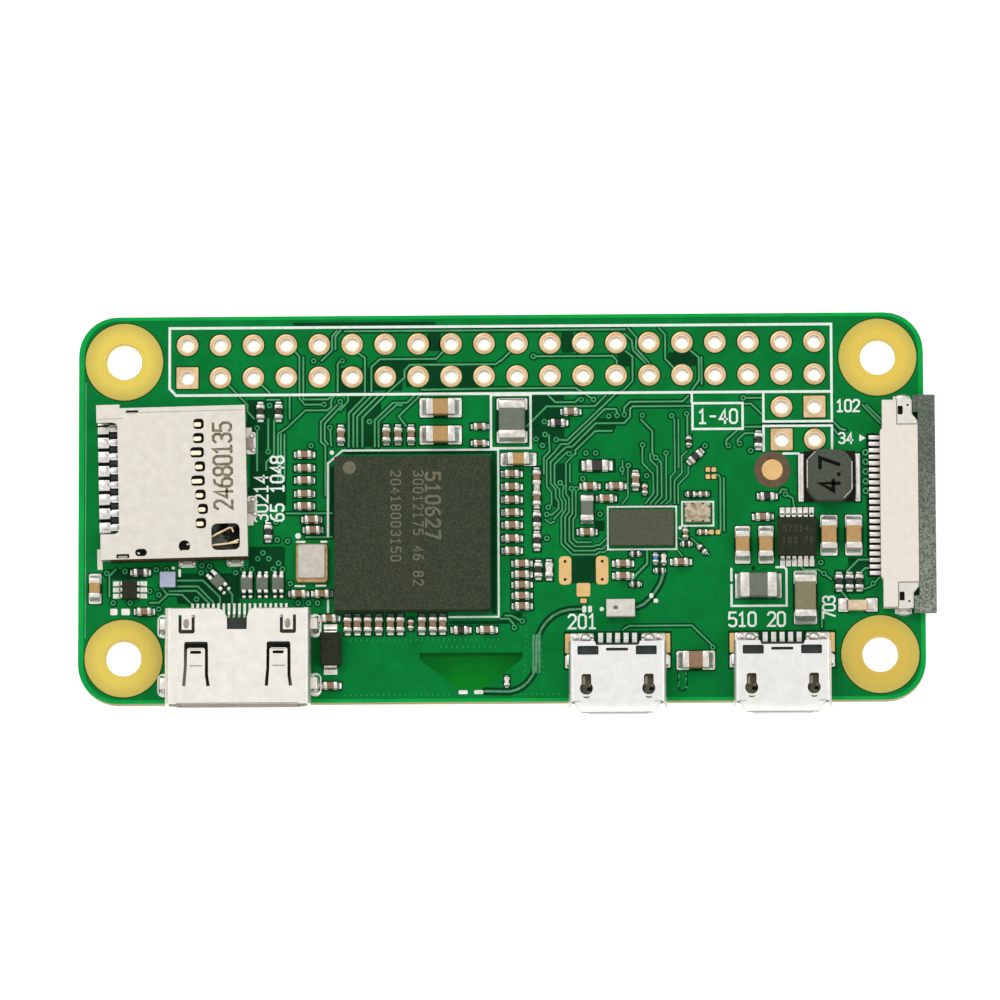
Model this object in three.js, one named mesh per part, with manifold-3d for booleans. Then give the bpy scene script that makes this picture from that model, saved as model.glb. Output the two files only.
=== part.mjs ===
// Single board computer: a small 65 x 30 mm circuit board populated on one side.
//
// Units are millimetres. The origin is the middle of the mounting-hole rectangle, on the
// underside of the board. +X runs along the board toward the camera connector, +Y toward
// the row of header holes, +Z out of the component side.
//
// Every piece is one closed solid in its own named mesh.

import * as THREE from 'three';
import { mergeVertices } from 'three/addons/utils/BufferGeometryUtils.js';
import Module from 'manifold-3d';

const wasm = await Module();
wasm.setup();

// ---------------------------------------------------------------- driving dimensions

const BOARD_L = 65;            // along X
const BOARD_W = 30;            // along Y
const BOARD_T = 1.4;           // along Z
const CORNER_R = 3;
const MOUNT_X = 29;            // mounting hole offsets from the centre
const MOUNT_Y = 11.5;
const MOUNT_D = 2.75;

const HEADER_PITCH = 2.54;
const HEADER_COLUMNS = 20;
const HEADER_DRILL = 1.02;

const CARD_AT = [-25.3, 2.0];  // centre of the card socket
const CARD_TURN = 1.2;         // degrees, the socket sits very slightly askew
const CARD_H = 1.4;
const CARD_SHEET = 0.15;
const CARD_PITCH = 1.1;
const CARD_CONTACTS = 8;
const CARD_FIRST_V = 4.41;     // first contact, in the socket's own frame

const VIDEO_X = -20.1;         // mini video socket
const VIDEO_REAR = -8.0;
const VIDEO_FRONT = -15.35;
const VIDEO_HALF = 5.55;
const VIDEO_H = 3.1;
const VIDEO_SHEET = 0.25;
const VIDEO_TAILS = 19;
const VIDEO_PITCH = 0.4;

const USB_X = [8.9, 21.5];     // data socket, power socket
const USB_REAR = -10.45;
const USB_FRONT = -15.3;
const USB_HALF = 3.72;
const USB_H = 2.65;
const USB_SHEET = 0.22;
const USB_TAILS = 5;
const USB_PITCH = 0.65;

const CAM_X0 = 29.1;           // camera cable connector
const CAM_X1 = 32.0;
const CAM_HALF = 8.0;
const CAM_H = 1.25;
const CAM_TAILS = 22;
const CAM_PITCH = 0.5;
const SLIDER_TRAVEL = 1.0;

const TOP = BOARD_T;           // components stand on this plane
const EPS = 0.02;              // running gap between touching pieces

// ---------------------------------------------------------------- small geometry helpers

const V2 = (x, y) => new THREE.Vector2(x, y);

function ring(cx, cy, r, n, turn = 0) {
  const p = [];
  for (let i = 0; i < n; i++) {
    const a = turn + (i / n) * 2 * Math.PI;
    p.push(V2(cx + r * Math.cos(a), cy + r * Math.sin(a)));
  }
  return p;
}

function roundRect(x0, y0, x1, y1, r, n = 3) {
  const p = [];
  const corner = (cx, cy, a0) => {
    for (let i = 0; i <= n; i++) {
      const a = a0 + (i / n) * (Math.PI / 2);
      p.push(V2(cx + r * Math.cos(a), cy + r * Math.sin(a)));
    }
  };
  corner(x1 - r, y1 - r, 0);
  corner(x0 + r, y1 - r, Math.PI / 2);
  corner(x0 + r, y0 + r, Math.PI);
  corner(x1 - r, y0 + r, 1.5 * Math.PI);
  return p;
}

const poly = (...xy) => {
  const p = [];
  for (let i = 0; i < xy.length; i += 2) p.push(V2(xy[i], xy[i + 1]));
  return p;
};

// The outline of a strip of thickness t that follows a path.
function ribbon(path, t) {
  const left = [];
  const right = [];
  for (let i = 0; i < path.length; i++) {
    const a = path[Math.max(i - 1, 0)];
    const b = path[i];
    const c = path[Math.min(i + 1, path.length - 1)];
    const d1 = V2(b.x - a.x, b.y - a.y);
    const d2 = V2(c.x - b.x, c.y - b.y);
    if (d1.lengthSq() === 0) d1.copy(d2);
    if (d2.lengthSq() === 0) d2.copy(d1);
    d1.normalize();
    d2.normalize();
    const n1 = V2(-d1.y, d1.x);
    const n2 = V2(-d2.y, d2.x);
    const m = V2(n1.x + n2.x, n1.y + n2.y).normalize();
    const k = (t / 2) / Math.max(m.dot(n1), 0.4);
    left.push(V2(b.x + m.x * k, b.y + m.y * k));
    right.push(V2(b.x - m.x * k, b.y - m.y * k));
  }
  return left.concat(right.reverse());
}

// A flat outline pushed up along Z, with optional holes.
function slab(outline, z0, z1, holes = []) {
  const shape = new THREE.Shape(outline);
  for (const h of holes) shape.holes.push(new THREE.Path(h));
  const g = new THREE.ExtrudeGeometry(shape, { depth: z1 - z0, bevelEnabled: false, steps: 1 });
  g.translate(0, 0, z0);
  return g;
}

// An (x, z) outline run along Y from y0 to y1.
function alongY(outline, y0, y1, holes = []) {
  const g = slab(outline, 0, y1 - y0, holes);
  g.applyMatrix4(new THREE.Matrix4().makeBasis(
    new THREE.Vector3(1, 0, 0), new THREE.Vector3(0, 0, 1), new THREE.Vector3(0, -1, 0)));
  g.translate(0, y1, 0);
  return g;
}

// A (y, z) outline run along X from x0 to x1.
function alongX(outline, x0, x1, holes = []) {
  const g = slab(outline, 0, x1 - x0, holes);
  g.applyMatrix4(new THREE.Matrix4().makeBasis(
    new THREE.Vector3(0, 1, 0), new THREE.Vector3(0, 0, 1), new THREE.Vector3(1, 0, 0)));
  g.translate(x0, 0, 0);
  return g;
}

function box(x0, y0, z0, x1, y1, z1) {
  const g = new THREE.BoxGeometry(x1 - x0, y1 - y0, z1 - z0);
  g.translate((x0 + x1) / 2, (y0 + y1) / 2, (z0 + z1) / 2);
  return g;
}

// A box whose upper edges are chamfered by c, as a moulded or fired body has.
function chamferBox(x0, y0, z0, x1, y1, z1, c) {
  const g = new THREE.BufferGeometry();
  const P = [
    [x0, y0, z0], [x1, y0, z0], [x1, y1, z0], [x0, y1, z0],
    [x0, y0, z1 - c], [x1, y0, z1 - c], [x1, y1, z1 - c], [x0, y1, z1 - c],
    [x0 + c, y0 + c, z1], [x1 - c, y0 + c, z1], [x1 - c, y1 - c, z1], [x0 + c, y1 - c, z1],
  ];
  const I = [0, 2, 1, 0, 3, 2, 8, 9, 10, 8, 10, 11];
  for (const o of [0, 4]) {
    for (let i = 0; i < 4; i++) {
      const j = (i + 1) % 4;
      I.push(o + i, o + j, o + 4 + j, o + i, o + 4 + j, o + 4 + i);
    }
  }
  g.setAttribute('position', new THREE.Float32BufferAttribute(P.flat(), 3));
  g.setIndex(I);
  return g;
}

function solid(geometry) {
  const g = geometry.clone();
  g.deleteAttribute('normal');
  g.deleteAttribute('uv');
  const m = mergeVertices(g, 1e-5);
  return new wasm.Manifold(new wasm.Mesh({
    numProp: 3,
    vertProperties: Float32Array.from(m.attributes.position.array),
    triVerts: Uint32Array.from(m.index.array),
  }));
}

function toGeometry(manifold) {
  const mesh = manifold.getMesh();
  const g = new THREE.BufferGeometry();
  const count = mesh.vertProperties.length / mesh.numProp;
  const pos = new Float32Array(count * 3);
  for (let i = 0; i < count; i++) {
    for (let k = 0; k < 3; k++) pos[3 * i + k] = mesh.vertProperties[mesh.numProp * i + k];
  }
  g.setAttribute('position', new THREE.BufferAttribute(pos, 3));
  g.setIndex(new THREE.BufferAttribute(Uint32Array.from(mesh.triVerts), 1));
  return g;
}

const join = (...gs) => toGeometry(gs.map(solid).reduce((a, b) => a.add(b)));
const cut = (base, ...tools) => toGeometry(tools.map(solid).reduce((a, b) => a.subtract(b), solid(base)));

// ---------------------------------------------------------------- materials

const mat = (color, roughness, metalness) =>
  new THREE.MeshStandardMaterial({ color, roughness, metalness });

const M = {
  mask: mat(0x0e7a36, 0.38, 0.0),
  tin: mat(0xd9d6cf, 0.3, 1.0),
  gold: mat(0xe2b36c, 0.28, 1.0),
  solderTin: mat(0xc9c7c2, 0.35, 1.0),
  packageBlack: mat(0x3d3c31, 0.55, 0.0),
  packageGrey: mat(0x5d5b49, 0.5, 0.0),
  plasticDark: mat(0x25282a, 0.55, 0.0),
  plasticCream: mat(0xeae3d8, 0.5, 0.0),
  plasticGrey: mat(0x5c615b, 0.6, 0.0),
  ferrite: mat(0x555750, 0.6, 0.0),
  ceramicTan: mat(0xb8935f, 0.45, 0.0),
  ceramicOlive: mat(0x6f6244, 0.5, 0.0),
  ceramicWhite: mat(0xe9e6dd, 0.4, 0.0),
  ceramicDark: mat(0x2a2723, 0.5, 0.0),
  ledCream: mat(0xf0dfc0, 0.35, 0.0),
  dieViolet: mat(0x8f86a8, 0.3, 0.0),
};

const root = new THREE.Group();

function add(name, geometry, material, parent = root) {
  geometry.computeVertexNormals();
  const mesh = new THREE.Mesh(geometry, material);
  mesh.name = name;
  parent.add(mesh);
  return mesh;
}

function group(x, y, z, degrees = 0, parent = root) {
  const g = new THREE.Group();
  g.position.set(x, y, z);
  g.rotation.z = THREE.MathUtils.degToRad(degrees);
  parent.add(g);
  return g;
}

// ---------------------------------------------------------------- circuit board

{
  const holes = [];
  for (const sx of [-1, 1]) {
    for (const sy of [-1, 1]) holes.push(ring(sx * MOUNT_X, sy * MOUNT_Y, MOUNT_D / 2, 24));
  }
  for (let i = 0; i < HEADER_COLUMNS; i++) {
    const x = (i - (HEADER_COLUMNS - 1) / 2) * HEADER_PITCH;
    for (const y of [MOUNT_Y + HEADER_PITCH / 2, MOUNT_Y - HEADER_PITCH / 2]) {
      holes.push(ring(x, y, HEADER_DRILL / 2, 10, Math.PI / 10));
    }
  }
  // reset pair and composite-video pair, two holes each
  for (const y of [MOUNT_Y - 1.5 * HEADER_PITCH, MOUNT_Y - 2.5 * HEADER_PITCH]) {
    for (const x of [9.5 * HEADER_PITCH, 8.5 * HEADER_PITCH]) {
      holes.push(ring(x, y, HEADER_DRILL / 2, 10, Math.PI / 10));
    }
  }
  // slots for the four legs of the video socket
  for (const sx of [-1, 1]) {
    for (const y of [-9.25, -13.9]) {
      const x = VIDEO_X + sx * 5.95;
      holes.push(roundRect(x - 0.25, y - 0.75, x + 0.25, y + 0.75, 0.24, 2));
    }
  }
  add('circuit_board',
    slab(roundRect(-BOARD_L / 2, -BOARD_W / 2, BOARD_L / 2, BOARD_W / 2, CORNER_R, 8), 0, BOARD_T, holes),
    M.mask);
}

// ---------------------------------------------------------------- processor and memory, stacked

const SOC = { x: -6.8, y: -2.05, half: 6.0 };
add('processor_package',
  chamferBox(SOC.x - SOC.half, SOC.y - SOC.half, TOP, SOC.x + SOC.half, SOC.y + SOC.half, TOP + 0.62, 0.04),
  M.packageBlack);
add('memory_package',
  chamferBox(SOC.x - SOC.half + 0.03, SOC.y - SOC.half + 0.03, TOP + 0.64,
    SOC.x + SOC.half - 0.03, SOC.y + SOC.half - 0.03, TOP + 1.3, 0.05),
  M.packageBlack);

// ---------------------------------------------------------------- other packages

add('wireless_chip', chamferBox(8.35, -3.05, TOP, 13.25, -0.25, TOP + 0.55, 0.03), M.packageGrey);
add('power_regulator_chip', chamferBox(21.2, -3.95, TOP, 24.2, -0.95, TOP + 0.85, 0.05), M.packageBlack);
add('level_shifter_chip', chamferBox(-29.1, -6.95, TOP, -27.95, -5.5, TOP + 0.6, 0.06), M.packageBlack);
add('load_switch_chip', chamferBox(-26.2, -6.05, TOP, -25.0, -4.85, TOP + 0.45, 0.02), M.dieViolet);
add('antenna_filter', chamferBox(8.05, -8.55, TOP, 10.25, -7.2, TOP + 0.7, 0.05), M.ceramicWhite);

// ---------------------------------------------------------------- crystals

add('main_crystal_base', chamferBox(-15.75, -5.75, TOP, -13.3, -2.75, TOP + 0.4, 0.03), M.ceramicDark);
add('main_crystal_lid', chamferBox(-15.5, -5.5, TOP + 0.4, -13.55, -3.0, TOP + 0.62, 0.08), M.tin);
add('wireless_crystal', chamferBox(14.1, -1.25, TOP, 16.1, 0.25, TOP + 0.45, 0.06), M.tin);

// ---------------------------------------------------------------- wound and chip inductors

{
  const cx = 25.25;
  const cy = 2.25;
  add('power_inductor_base', chamferBox(cx - 1.95, cy - 1.95, TOP, cx + 1.95, cy + 1.95, TOP + 0.32, 0.05), M.ceramicDark);
  const k = cy - 0.03;
  const core = poly(
    cx - 0.95, k - 1.78, cx + 0.95, k - 1.78, cx + 1.78, k - 0.95, cx + 1.78, k + 0.95,
    cx + 0.95, k + 1.78, cx - 0.95, k + 1.78, cx - 1.78, k + 0.95, cx - 1.78, k - 0.95);
  add('power_inductor_core', slab(core, TOP + 0.32 + EPS, TOP + 1.4), M.ferrite);
  for (const [name, s] of [['power_inductor_terminal_left', -1], ['power_inductor_terminal_right', 1]]) {
    const xa = cx + s * 1.97;
    const xb = cx + s * 2.25;
    add(name, box(Math.min(xa, xb), cy - 1.75, TOP, Math.max(xa, xb), cy + 1.75, TOP + 0.3), M.solderTin);
  }
}
add('core_supply_inductor', chamferBox(-0.13, 5.3, TOP, 1.87, 8.2, TOP + 1.0, 0.08), M.ferrite);
add('input_filter_inductor', chamferBox(18.32, -7.1, TOP, 21.1, -5.25, TOP + 0.95, 0.08), M.ferrite);
add('radio_choke', chamferBox(6.13, -1.12, TOP, 7.1, 0.8, TOP + 0.8, 0.06), M.ferrite);

// ---------------------------------------------------------------- larger capacitors, diode, indicator

const CHIPS = [
  ['bulk_capacitor_1', -4.62, 7.79, 2.2, 1.2, 0.95, M.ceramicTan],
  ['bulk_capacitor_2', -4.62, 5.66, 2.2, 1.2, 0.95, M.ceramicTan],
  ['core_capacitor', 1.36, 3.73, 1.62, 0.88, 0.8, M.ceramicTan],
  ['regulator_capacitor_1', 18.52, -3.0, 1.05, 1.95, 0.85, M.ceramicTan],
  ['regulator_capacitor_2', 20.32, -3.0, 1.05, 1.95, 0.85, M.ceramicTan],
  ['regulator_capacitor_3', 25.15, -2.3, 1.15, 2.2, 0.95, M.ceramicTan],
  ['regulator_capacitor_4', 27.05, -2.3, 1.15, 2.2, 0.95, M.ceramicTan],
  ['input_capacitor', 23.3, -7.1, 1.6, 3.2, 1.3, M.ceramicOlive],
  ['socket_capacitor', 14.88, -11.9, 2.0, 1.25, 0.95, M.ceramicOlive],
  ['card_capacitor', -31.2, -6.1, 0.8, 1.5, 0.7, M.ceramicTan],
];
for (const [name, x, y, lx, ly, h, m] of CHIPS) {
  add(name, chamferBox(x - lx / 2, y - ly / 2, TOP, x + lx / 2, y + ly / 2, TOP + h, 0.05), m);
}
add('protection_diode', chamferBox(-13.9, -12.2, TOP, -12.3, -9.65, TOP + 1.0, 0.12), M.plasticDark);
add('activity_led', chamferBox(26.55, -8.15, TOP, 28.05, -7.35, TOP + 0.6, 0.08), M.ledCream);
for (const [i, x] of [[1, -19.55], [2, -18.35], [3, -17.15]]) {
  add(`filter_array_${i}`, chamferBox(x - 0.45, -6.35, TOP, x + 0.45, -5.2, TOP + 0.45, 0.04), M.ceramicDark);
}

// ---------------------------------------------------------------- memory-card socket

{
  const g = group(CARD_AT[0], CARD_AT[1], TOP, CARD_TURN);
  const U0 = -5.65;
  const U1 = 5.8;
  const V0 = -5.93;
  const V1 = 5.8;
  const H = CARD_H;
  const T = CARD_SHEET;
  const rowV = (n) => CARD_FIRST_V - CARD_PITCH * n;

  // pressed cover: a tray turned over, open toward -X where the card goes in
  const cutters = [
    box(U0 - 1, V0 + T, -1, U1 - T, V1 - T, H - T),
    // mouth notch that leaves the solder tails in view
    slab(roundRect(U0 - 1, -3.95, -4.05, 4.7, 0.35, 2), -1, H + 1),
    slab(poly(U0 - 1, V0 - 1, U0 + 0.15, V0 - 1, U0 + 0.15, -3.9, U0 - 1, -3.9), 0.15, H + 1),
    // square inspection window over the card-detect switch
    slab(roundRect(3.03, -5.4, 5.2, -3.35, 0.42, 3), H - 1, H + 1),
    slab(ring(0.94, -5.02, 0.45, 14), H - 0.5, H + 1),
    slab(roundRect(-2.85, -5.72, -1.95, -5.15, 0.25, 2), H - 0.5, H + 1),
    slab(roundRect(-3.38, 5.38, -2.4, 5.6, 0.1, 2), H - 0.5, H + 1),
  ];
  // one small window over the tip of each contact
  const centres = [2.2, 2.17, 2.05, 2.25, 2.08, 2.25, 2.42, 2.24];
  const widths = [0.8, 0.84, 1.05, 0.8, 1.05, 0.8, 0.76, 0.8];
  for (let n = 0; n < CARD_CONTACTS; n++) {
    const c = centres[n];
    const w = widths[n] / 2;
    cutters.push(slab(roundRect(c - w, rowV(n) - 0.4, c + w, rowV(n) + 0.4, 0.22, 2), H - 0.5, H + 1));
  }
  const cover = join(
    cut(box(U0, V0, 0, U1, V1, H), ...cutters),
    box(U0, V1 - T, 0, -3.85, V1 + 0.28, H),           // thick front corner
    box(U1 - T, 2.5, 0, U1 + 0.42, 4.2, T),            // rear feet
    box(U1 - T, -3.4, 0, U1 + 0.42, -1.8, T),
    box(0.4, V0 - 0.5, 0, 1.45, V0 + T, T),            // side feet
    box(4.1, V0 - 0.5, 0, 5.15, V0 + T, T),
    box(U0 - 0.2, V0 - 0.6, 0, U0 + 0.2, V0 + 1.0, T), // front foot
  );
  add('card_socket_cover', cover, M.tin, g);

  // moulded base with one channel for each spring contact
  const channels = [];
  for (let n = 0; n < CARD_CONTACTS; n++) {
    channels.push(box(-4.9, rowV(n) - 0.4, -1, 3.3, rowV(n) + 0.4, 0.5));
  }
  const base = cut(
    join(
      box(-4.7, V0 + T + EPS, 0, U1 - T - EPS, V1 - T - EPS, 0.34),
      box(-3.9, V1 - T - EPS - 0.35, 0, U1 - T - EPS, V1 - T - EPS, 1.1),
      box(-3.9, V0 + T + EPS, 0, U1 - T - EPS, V0 + T + EPS + 0.18, 1.1),
      box(U1 - T - EPS - 0.35, V0 + T + EPS, 0, U1 - T - EPS, V1 - T - EPS, 1.1),
    ),
    ...channels.map((c) => c),
    box(-5.0, rowV(0) + 0.3, -1, -4.3, rowV(0) + 0.4, 2),
  );
  add('card_socket_base', base, M.plasticDark, g);

  // spring contacts, tail on the board at the mouth, crest under its window
  for (let n = 0; n < CARD_CONTACTS; n++) {
    const tip = centres[n] - 0.05;
    const path = [
      V2(-5.6, 0.05), V2(-4.95, 0.05), V2(-4.65, 0.2), V2(-1.2, 0.26),
      V2(tip - 0.75, 0.66), V2(tip - 0.3, 0.8), V2(tip + 0.05, 0.74), V2(tip + 0.28, 0.55),
    ];
    const c = alongY(ribbon(path, 0.1), rowV(n) - 0.27, rowV(n) + 0.27);
    add(`card_contact_${n + 1}`, c, M.gold, g);
  }

  // card-detect switch: a hairpin blade that the card pushes, and the blade it touches
  const hair = ribbon([V2(2.25, -4.63), V2(3.0, -4.3), V2(4.38, -3.62), V2(4.58, -3.65), V2(4.69, -3.98)], 0.13);
  add('card_detect_blade', slab(hair, 0.42, 0.95), M.gold, g);
  const fixed = ribbon([V2(2.3, -5.13), V2(3.0, -4.96), V2(5.05, -4.78)], 0.13);
  add('card_detect_contact', slab(fixed, 0.36, 0.95), M.gold, g);
}

// ---------------------------------------------------------------- mini video socket

{
  const g = group(VIDEO_X, 0, TOP);
  const W = VIDEO_HALF;
  const H = VIDEO_H;
  const t = VIDEO_SHEET;
  const outer = poly(
    -W + 0.95, 0.08, W - 0.95, 0.08, W, 1.25, W, H - 0.4, W - 0.12, H - 0.12, W - 0.4, H,
    -W + 0.4, H, -W + 0.12, H - 0.12, -W, H - 0.4, -W, 1.25);
  const inner = poly(
    -W + 1.08, 0.08 + t, W - 1.08, 0.08 + t, W - t, 1.34, W - t, H - 0.45, W - t - 0.17, H - t,
    -W + t + 0.17, H - t, -W + t, H - 0.45, -W + t, 1.34);
  const shell = alongY(outer, VIDEO_FRONT, VIDEO_REAR);
  const bore = alongY(inner, VIDEO_FRONT - 1, VIDEO_REAR + 1);

  const top = (outline) => slab(outline, H - 0.7, H + 1);
  const finger = (cx) => [
    // gap round a spring finger that is hinged at the front
    top(poly(
      cx - 0.9, -10.65, cx + 0.9, -10.65, cx + 1.0, -14.0, cx + 0.75, -14.0,
      cx + 0.68, -11.15, cx - 0.68, -11.15, cx - 0.75, -14.0, cx - 1.0, -14.0)),
    top(roundRect(cx - 0.45, -11.68, cx + 0.45, -11.46, 0.1, 1)),
  ];
  const tongue = (cx) => top(poly(
    // gap round a small tongue that is hinged at the rear
    cx - 0.6, -8.6, cx - 0.42, -8.6, cx - 0.42, -9.76, cx + 0.42, -9.76,
    cx + 0.42, -8.6, cx + 0.6, -8.6, cx + 0.6, -9.95, cx - 0.6, -9.95));
  const notch = top(poly(
    -1.7, -7.5, 1.35, -7.5, 1.15, -8.05, 0.8, -8.35, 0.72, -8.75, 0.72, -9.65,
    -0.78, -9.65, -0.78, -8.75, -0.95, -8.35, -1.5, -8.02));
  const leg = (s, y) => {
    const a = s * (W - 0.1);
    const b = s * 6.07;
    return [
      box(Math.min(a, b), y - 0.45, 1.3, Math.max(a, b), y + 0.45, 1.55),
      box(Math.min(s * 5.83, b), y - 0.45, -BOARD_T + 0.1, Math.max(s * 5.83, b), y + 0.45, 1.55),
    ];
  };
  const legs = [];
  for (const s of [-1, 1]) for (const y of [-9.25, -13.9]) legs.push(...leg(s, y));
  add('video_socket_shell',
    join(cut(shell, bore, ...finger(-3.15), ...finger(3.15), tongue(-3.87), tongue(3.87), notch,
      box(-4.2, -8.72, -1, 4.2, -7, 0.9)), ...legs),
    M.tin, g);

  // moulding that carries the contact tongue
  const e = EPS;
  const block = poly(
    -W + 1.1 + e, 0.08 + t + e, W - 1.1 - e, 0.08 + t + e, W - t - e, 1.36, W - t - e, H - 0.48,
    W - t - 0.2, H - t - e, -W + t + 0.2, H - t - e, -W + t + e, H - 0.48, -W + t + e, 1.36);
  add('video_socket_insulator',
    join(
      alongY(block, -10.7, -8.72),
      box(-3.95, -14.55, 1.35, 3.95, -10.5, 1.95),
    ), M.plasticDark, g);

  // a row of tails, tied behind the moulding
  const tails = [box(-3.75, -8.66, 0.55, 3.75, -8.54, 0.75)];
  const tail = ribbon([V2(7.3, 0.06), V2(7.95, 0.06), V2(8.2, 0.16), V2(8.45, 0.6), V2(8.6, 1.0)], 0.11);
  for (let i = 0; i < VIDEO_TAILS; i++) {
    const x = (i - (VIDEO_TAILS - 1) / 2) * VIDEO_PITCH;
    const c = alongX(tail.map((p) => V2(-p.x, p.y)).reverse(), x - 0.1, x + 0.1);
    tails.push(c);
  }
  add('video_socket_contacts', join(...tails), M.solderTin, g);
}

// ---------------------------------------------------------------- two micro data sockets

for (const [k, name] of [[0, 'usb_data'], [1, 'usb_power']]) {
  const g = group(USB_X[k], 0, TOP);
  const W = USB_HALF;
  const H = USB_H;
  const t = USB_SHEET;
  const outer = poly(
    -W + 0.85, 0.04, W - 0.85, 0.04, W, 1.15, W, H - 0.3, W - 0.09, H - 0.09, W - 0.3, H,
    -W + 0.3, H, -W + 0.09, H - 0.09, -W, H - 0.3, -W, 1.15);
  const inner = poly(
    -W + 0.98, 0.04 + t, W - 0.98, 0.04 + t, W - t, 1.24, W - t, H - t - 0.12, W - t - 0.12, H - t,
    -W + t + 0.12, H - t, -W + t, H - t - 0.12, -W + t, 1.24);
  const top = (outline) => slab(outline, H - 0.6, H + 1);
  const keyhole = (cx) => top(poly(
    cx - 0.3, -13.0, cx + 0.3, -13.0, cx + 0.3, -13.75, cx + 0.48, -13.95, cx + 0.48, -14.4,
    cx - 0.48, -14.4, cx - 0.48, -13.95, cx - 0.3, -13.75));
  const shell = cut(
    alongY(outer, USB_FRONT, USB_REAR), alongY(inner, USB_FRONT - 1, USB_REAR + 1),
    top(roundRect(-3.0, -11.5, -1.42, -10.82, 0.1, 1)),
    top(roundRect(1.42, -11.5, 3.0, -10.82, 0.1, 1)),
    top(roundRect(-0.8, -11.15, 0.8, -10.95, 0.08, 1)),
    keyhole(-2.38), keyhole(2.38),
    top(roundRect(-2.68, -14.78, -2.08, -14.6, 0.08, 1)),
    top(roundRect(2.08, -14.78, 2.68, -14.6, 0.08, 1)),
    box(-1.75, -10.78, -1, 1.75, -10, 0.9),
  );
  // flared lips round the mouth
  const lipTopTaper = slab(poly(-3.6, -15.0, 3.6, -15.0, 3.5, -15.4, 3.2, -15.85, 2.75, -16.3, -2.75, -16.3, -3.2, -15.85, -3.5, -15.4), -1, H + 1);
  const lip = toGeometry(solid(
    alongX(poly(-16.2, H + 0.1, -16.2, H - 0.12, -15.2, H - 0.22, -15.2, H), -3.42, 3.42),
  ).intersect(solid(lipTopTaper)));
  const lipLow = alongX(
    poly(-16.0, -0.1, -16.0, -0.32, -15.2, 0.05, -15.2, 0.26), -2.3, 2.3);
  const side = (s) => {
    const y0 = -15.8;
    const p = poly(
      s * (W - t), -15.2, s * W, -15.2, s * (W + 0.13), y0, s * (W - 0.07), y0);
    return slab(s > 0 ? p.reverse() : p, 1.25, H - 0.45);
  };
  const pieces = [
    shell, lip, lipLow, side(1), side(-1),
    box(-3.55, -10.6, 0, -2.0, -9.75, 0.2), box(2.0, -10.6, 0, 3.55, -9.75, 0.2),
    box(-2.87, -10.6, 0, -2.5, -10.3, 0.5), box(2.5, -10.6, 0, 2.87, -10.3, 0.5),
    box(-3.92, -12.35, 0, -3.62, -11.5, 1.35), box(3.62, -12.35, 0, 3.92, -11.5, 1.35),
  ];
  add(`${name}_shell`, join(...pieces), M.tin, g);

  const e = EPS;
  const block = poly(
    -W + 1.0 + e, 0.04 + t + e, W - 1.0 - e, 0.04 + t + e, W - t - e, 1.26, W - t - e, H - t - 0.14,
    W - t - 0.14, H - t - e, -W + t + 0.14, H - t - e, -W + t + e, H - t - 0.14, -W + t + e, 1.26);
  add(`${name}_insulator`,
    join(alongY(block, -12.1, -10.78), box(-1.9, -14.9, 1.3, 1.9, -12.0, 1.85)),
    M.plasticDark, g);

  const tails = [box(-1.4, -10.74, 0.45, 1.4, -10.62, 0.62)];
  const tail = ribbon([V2(9.75, 0.06), V2(10.25, 0.06), V2(10.5, 0.2), V2(10.66, 0.7)], 0.11);
  for (let i = 0; i < USB_TAILS; i++) {
    const x = (i - (USB_TAILS - 1) / 2) * USB_PITCH;
    tails.push(alongX(tail.map((p) => V2(-p.x, p.y)).reverse(), x - 0.19, x + 0.19));
  }
  add(`${name}_contacts`, join(...tails), M.solderTin, g);
}

// ---------------------------------------------------------------- camera cable connector

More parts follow.
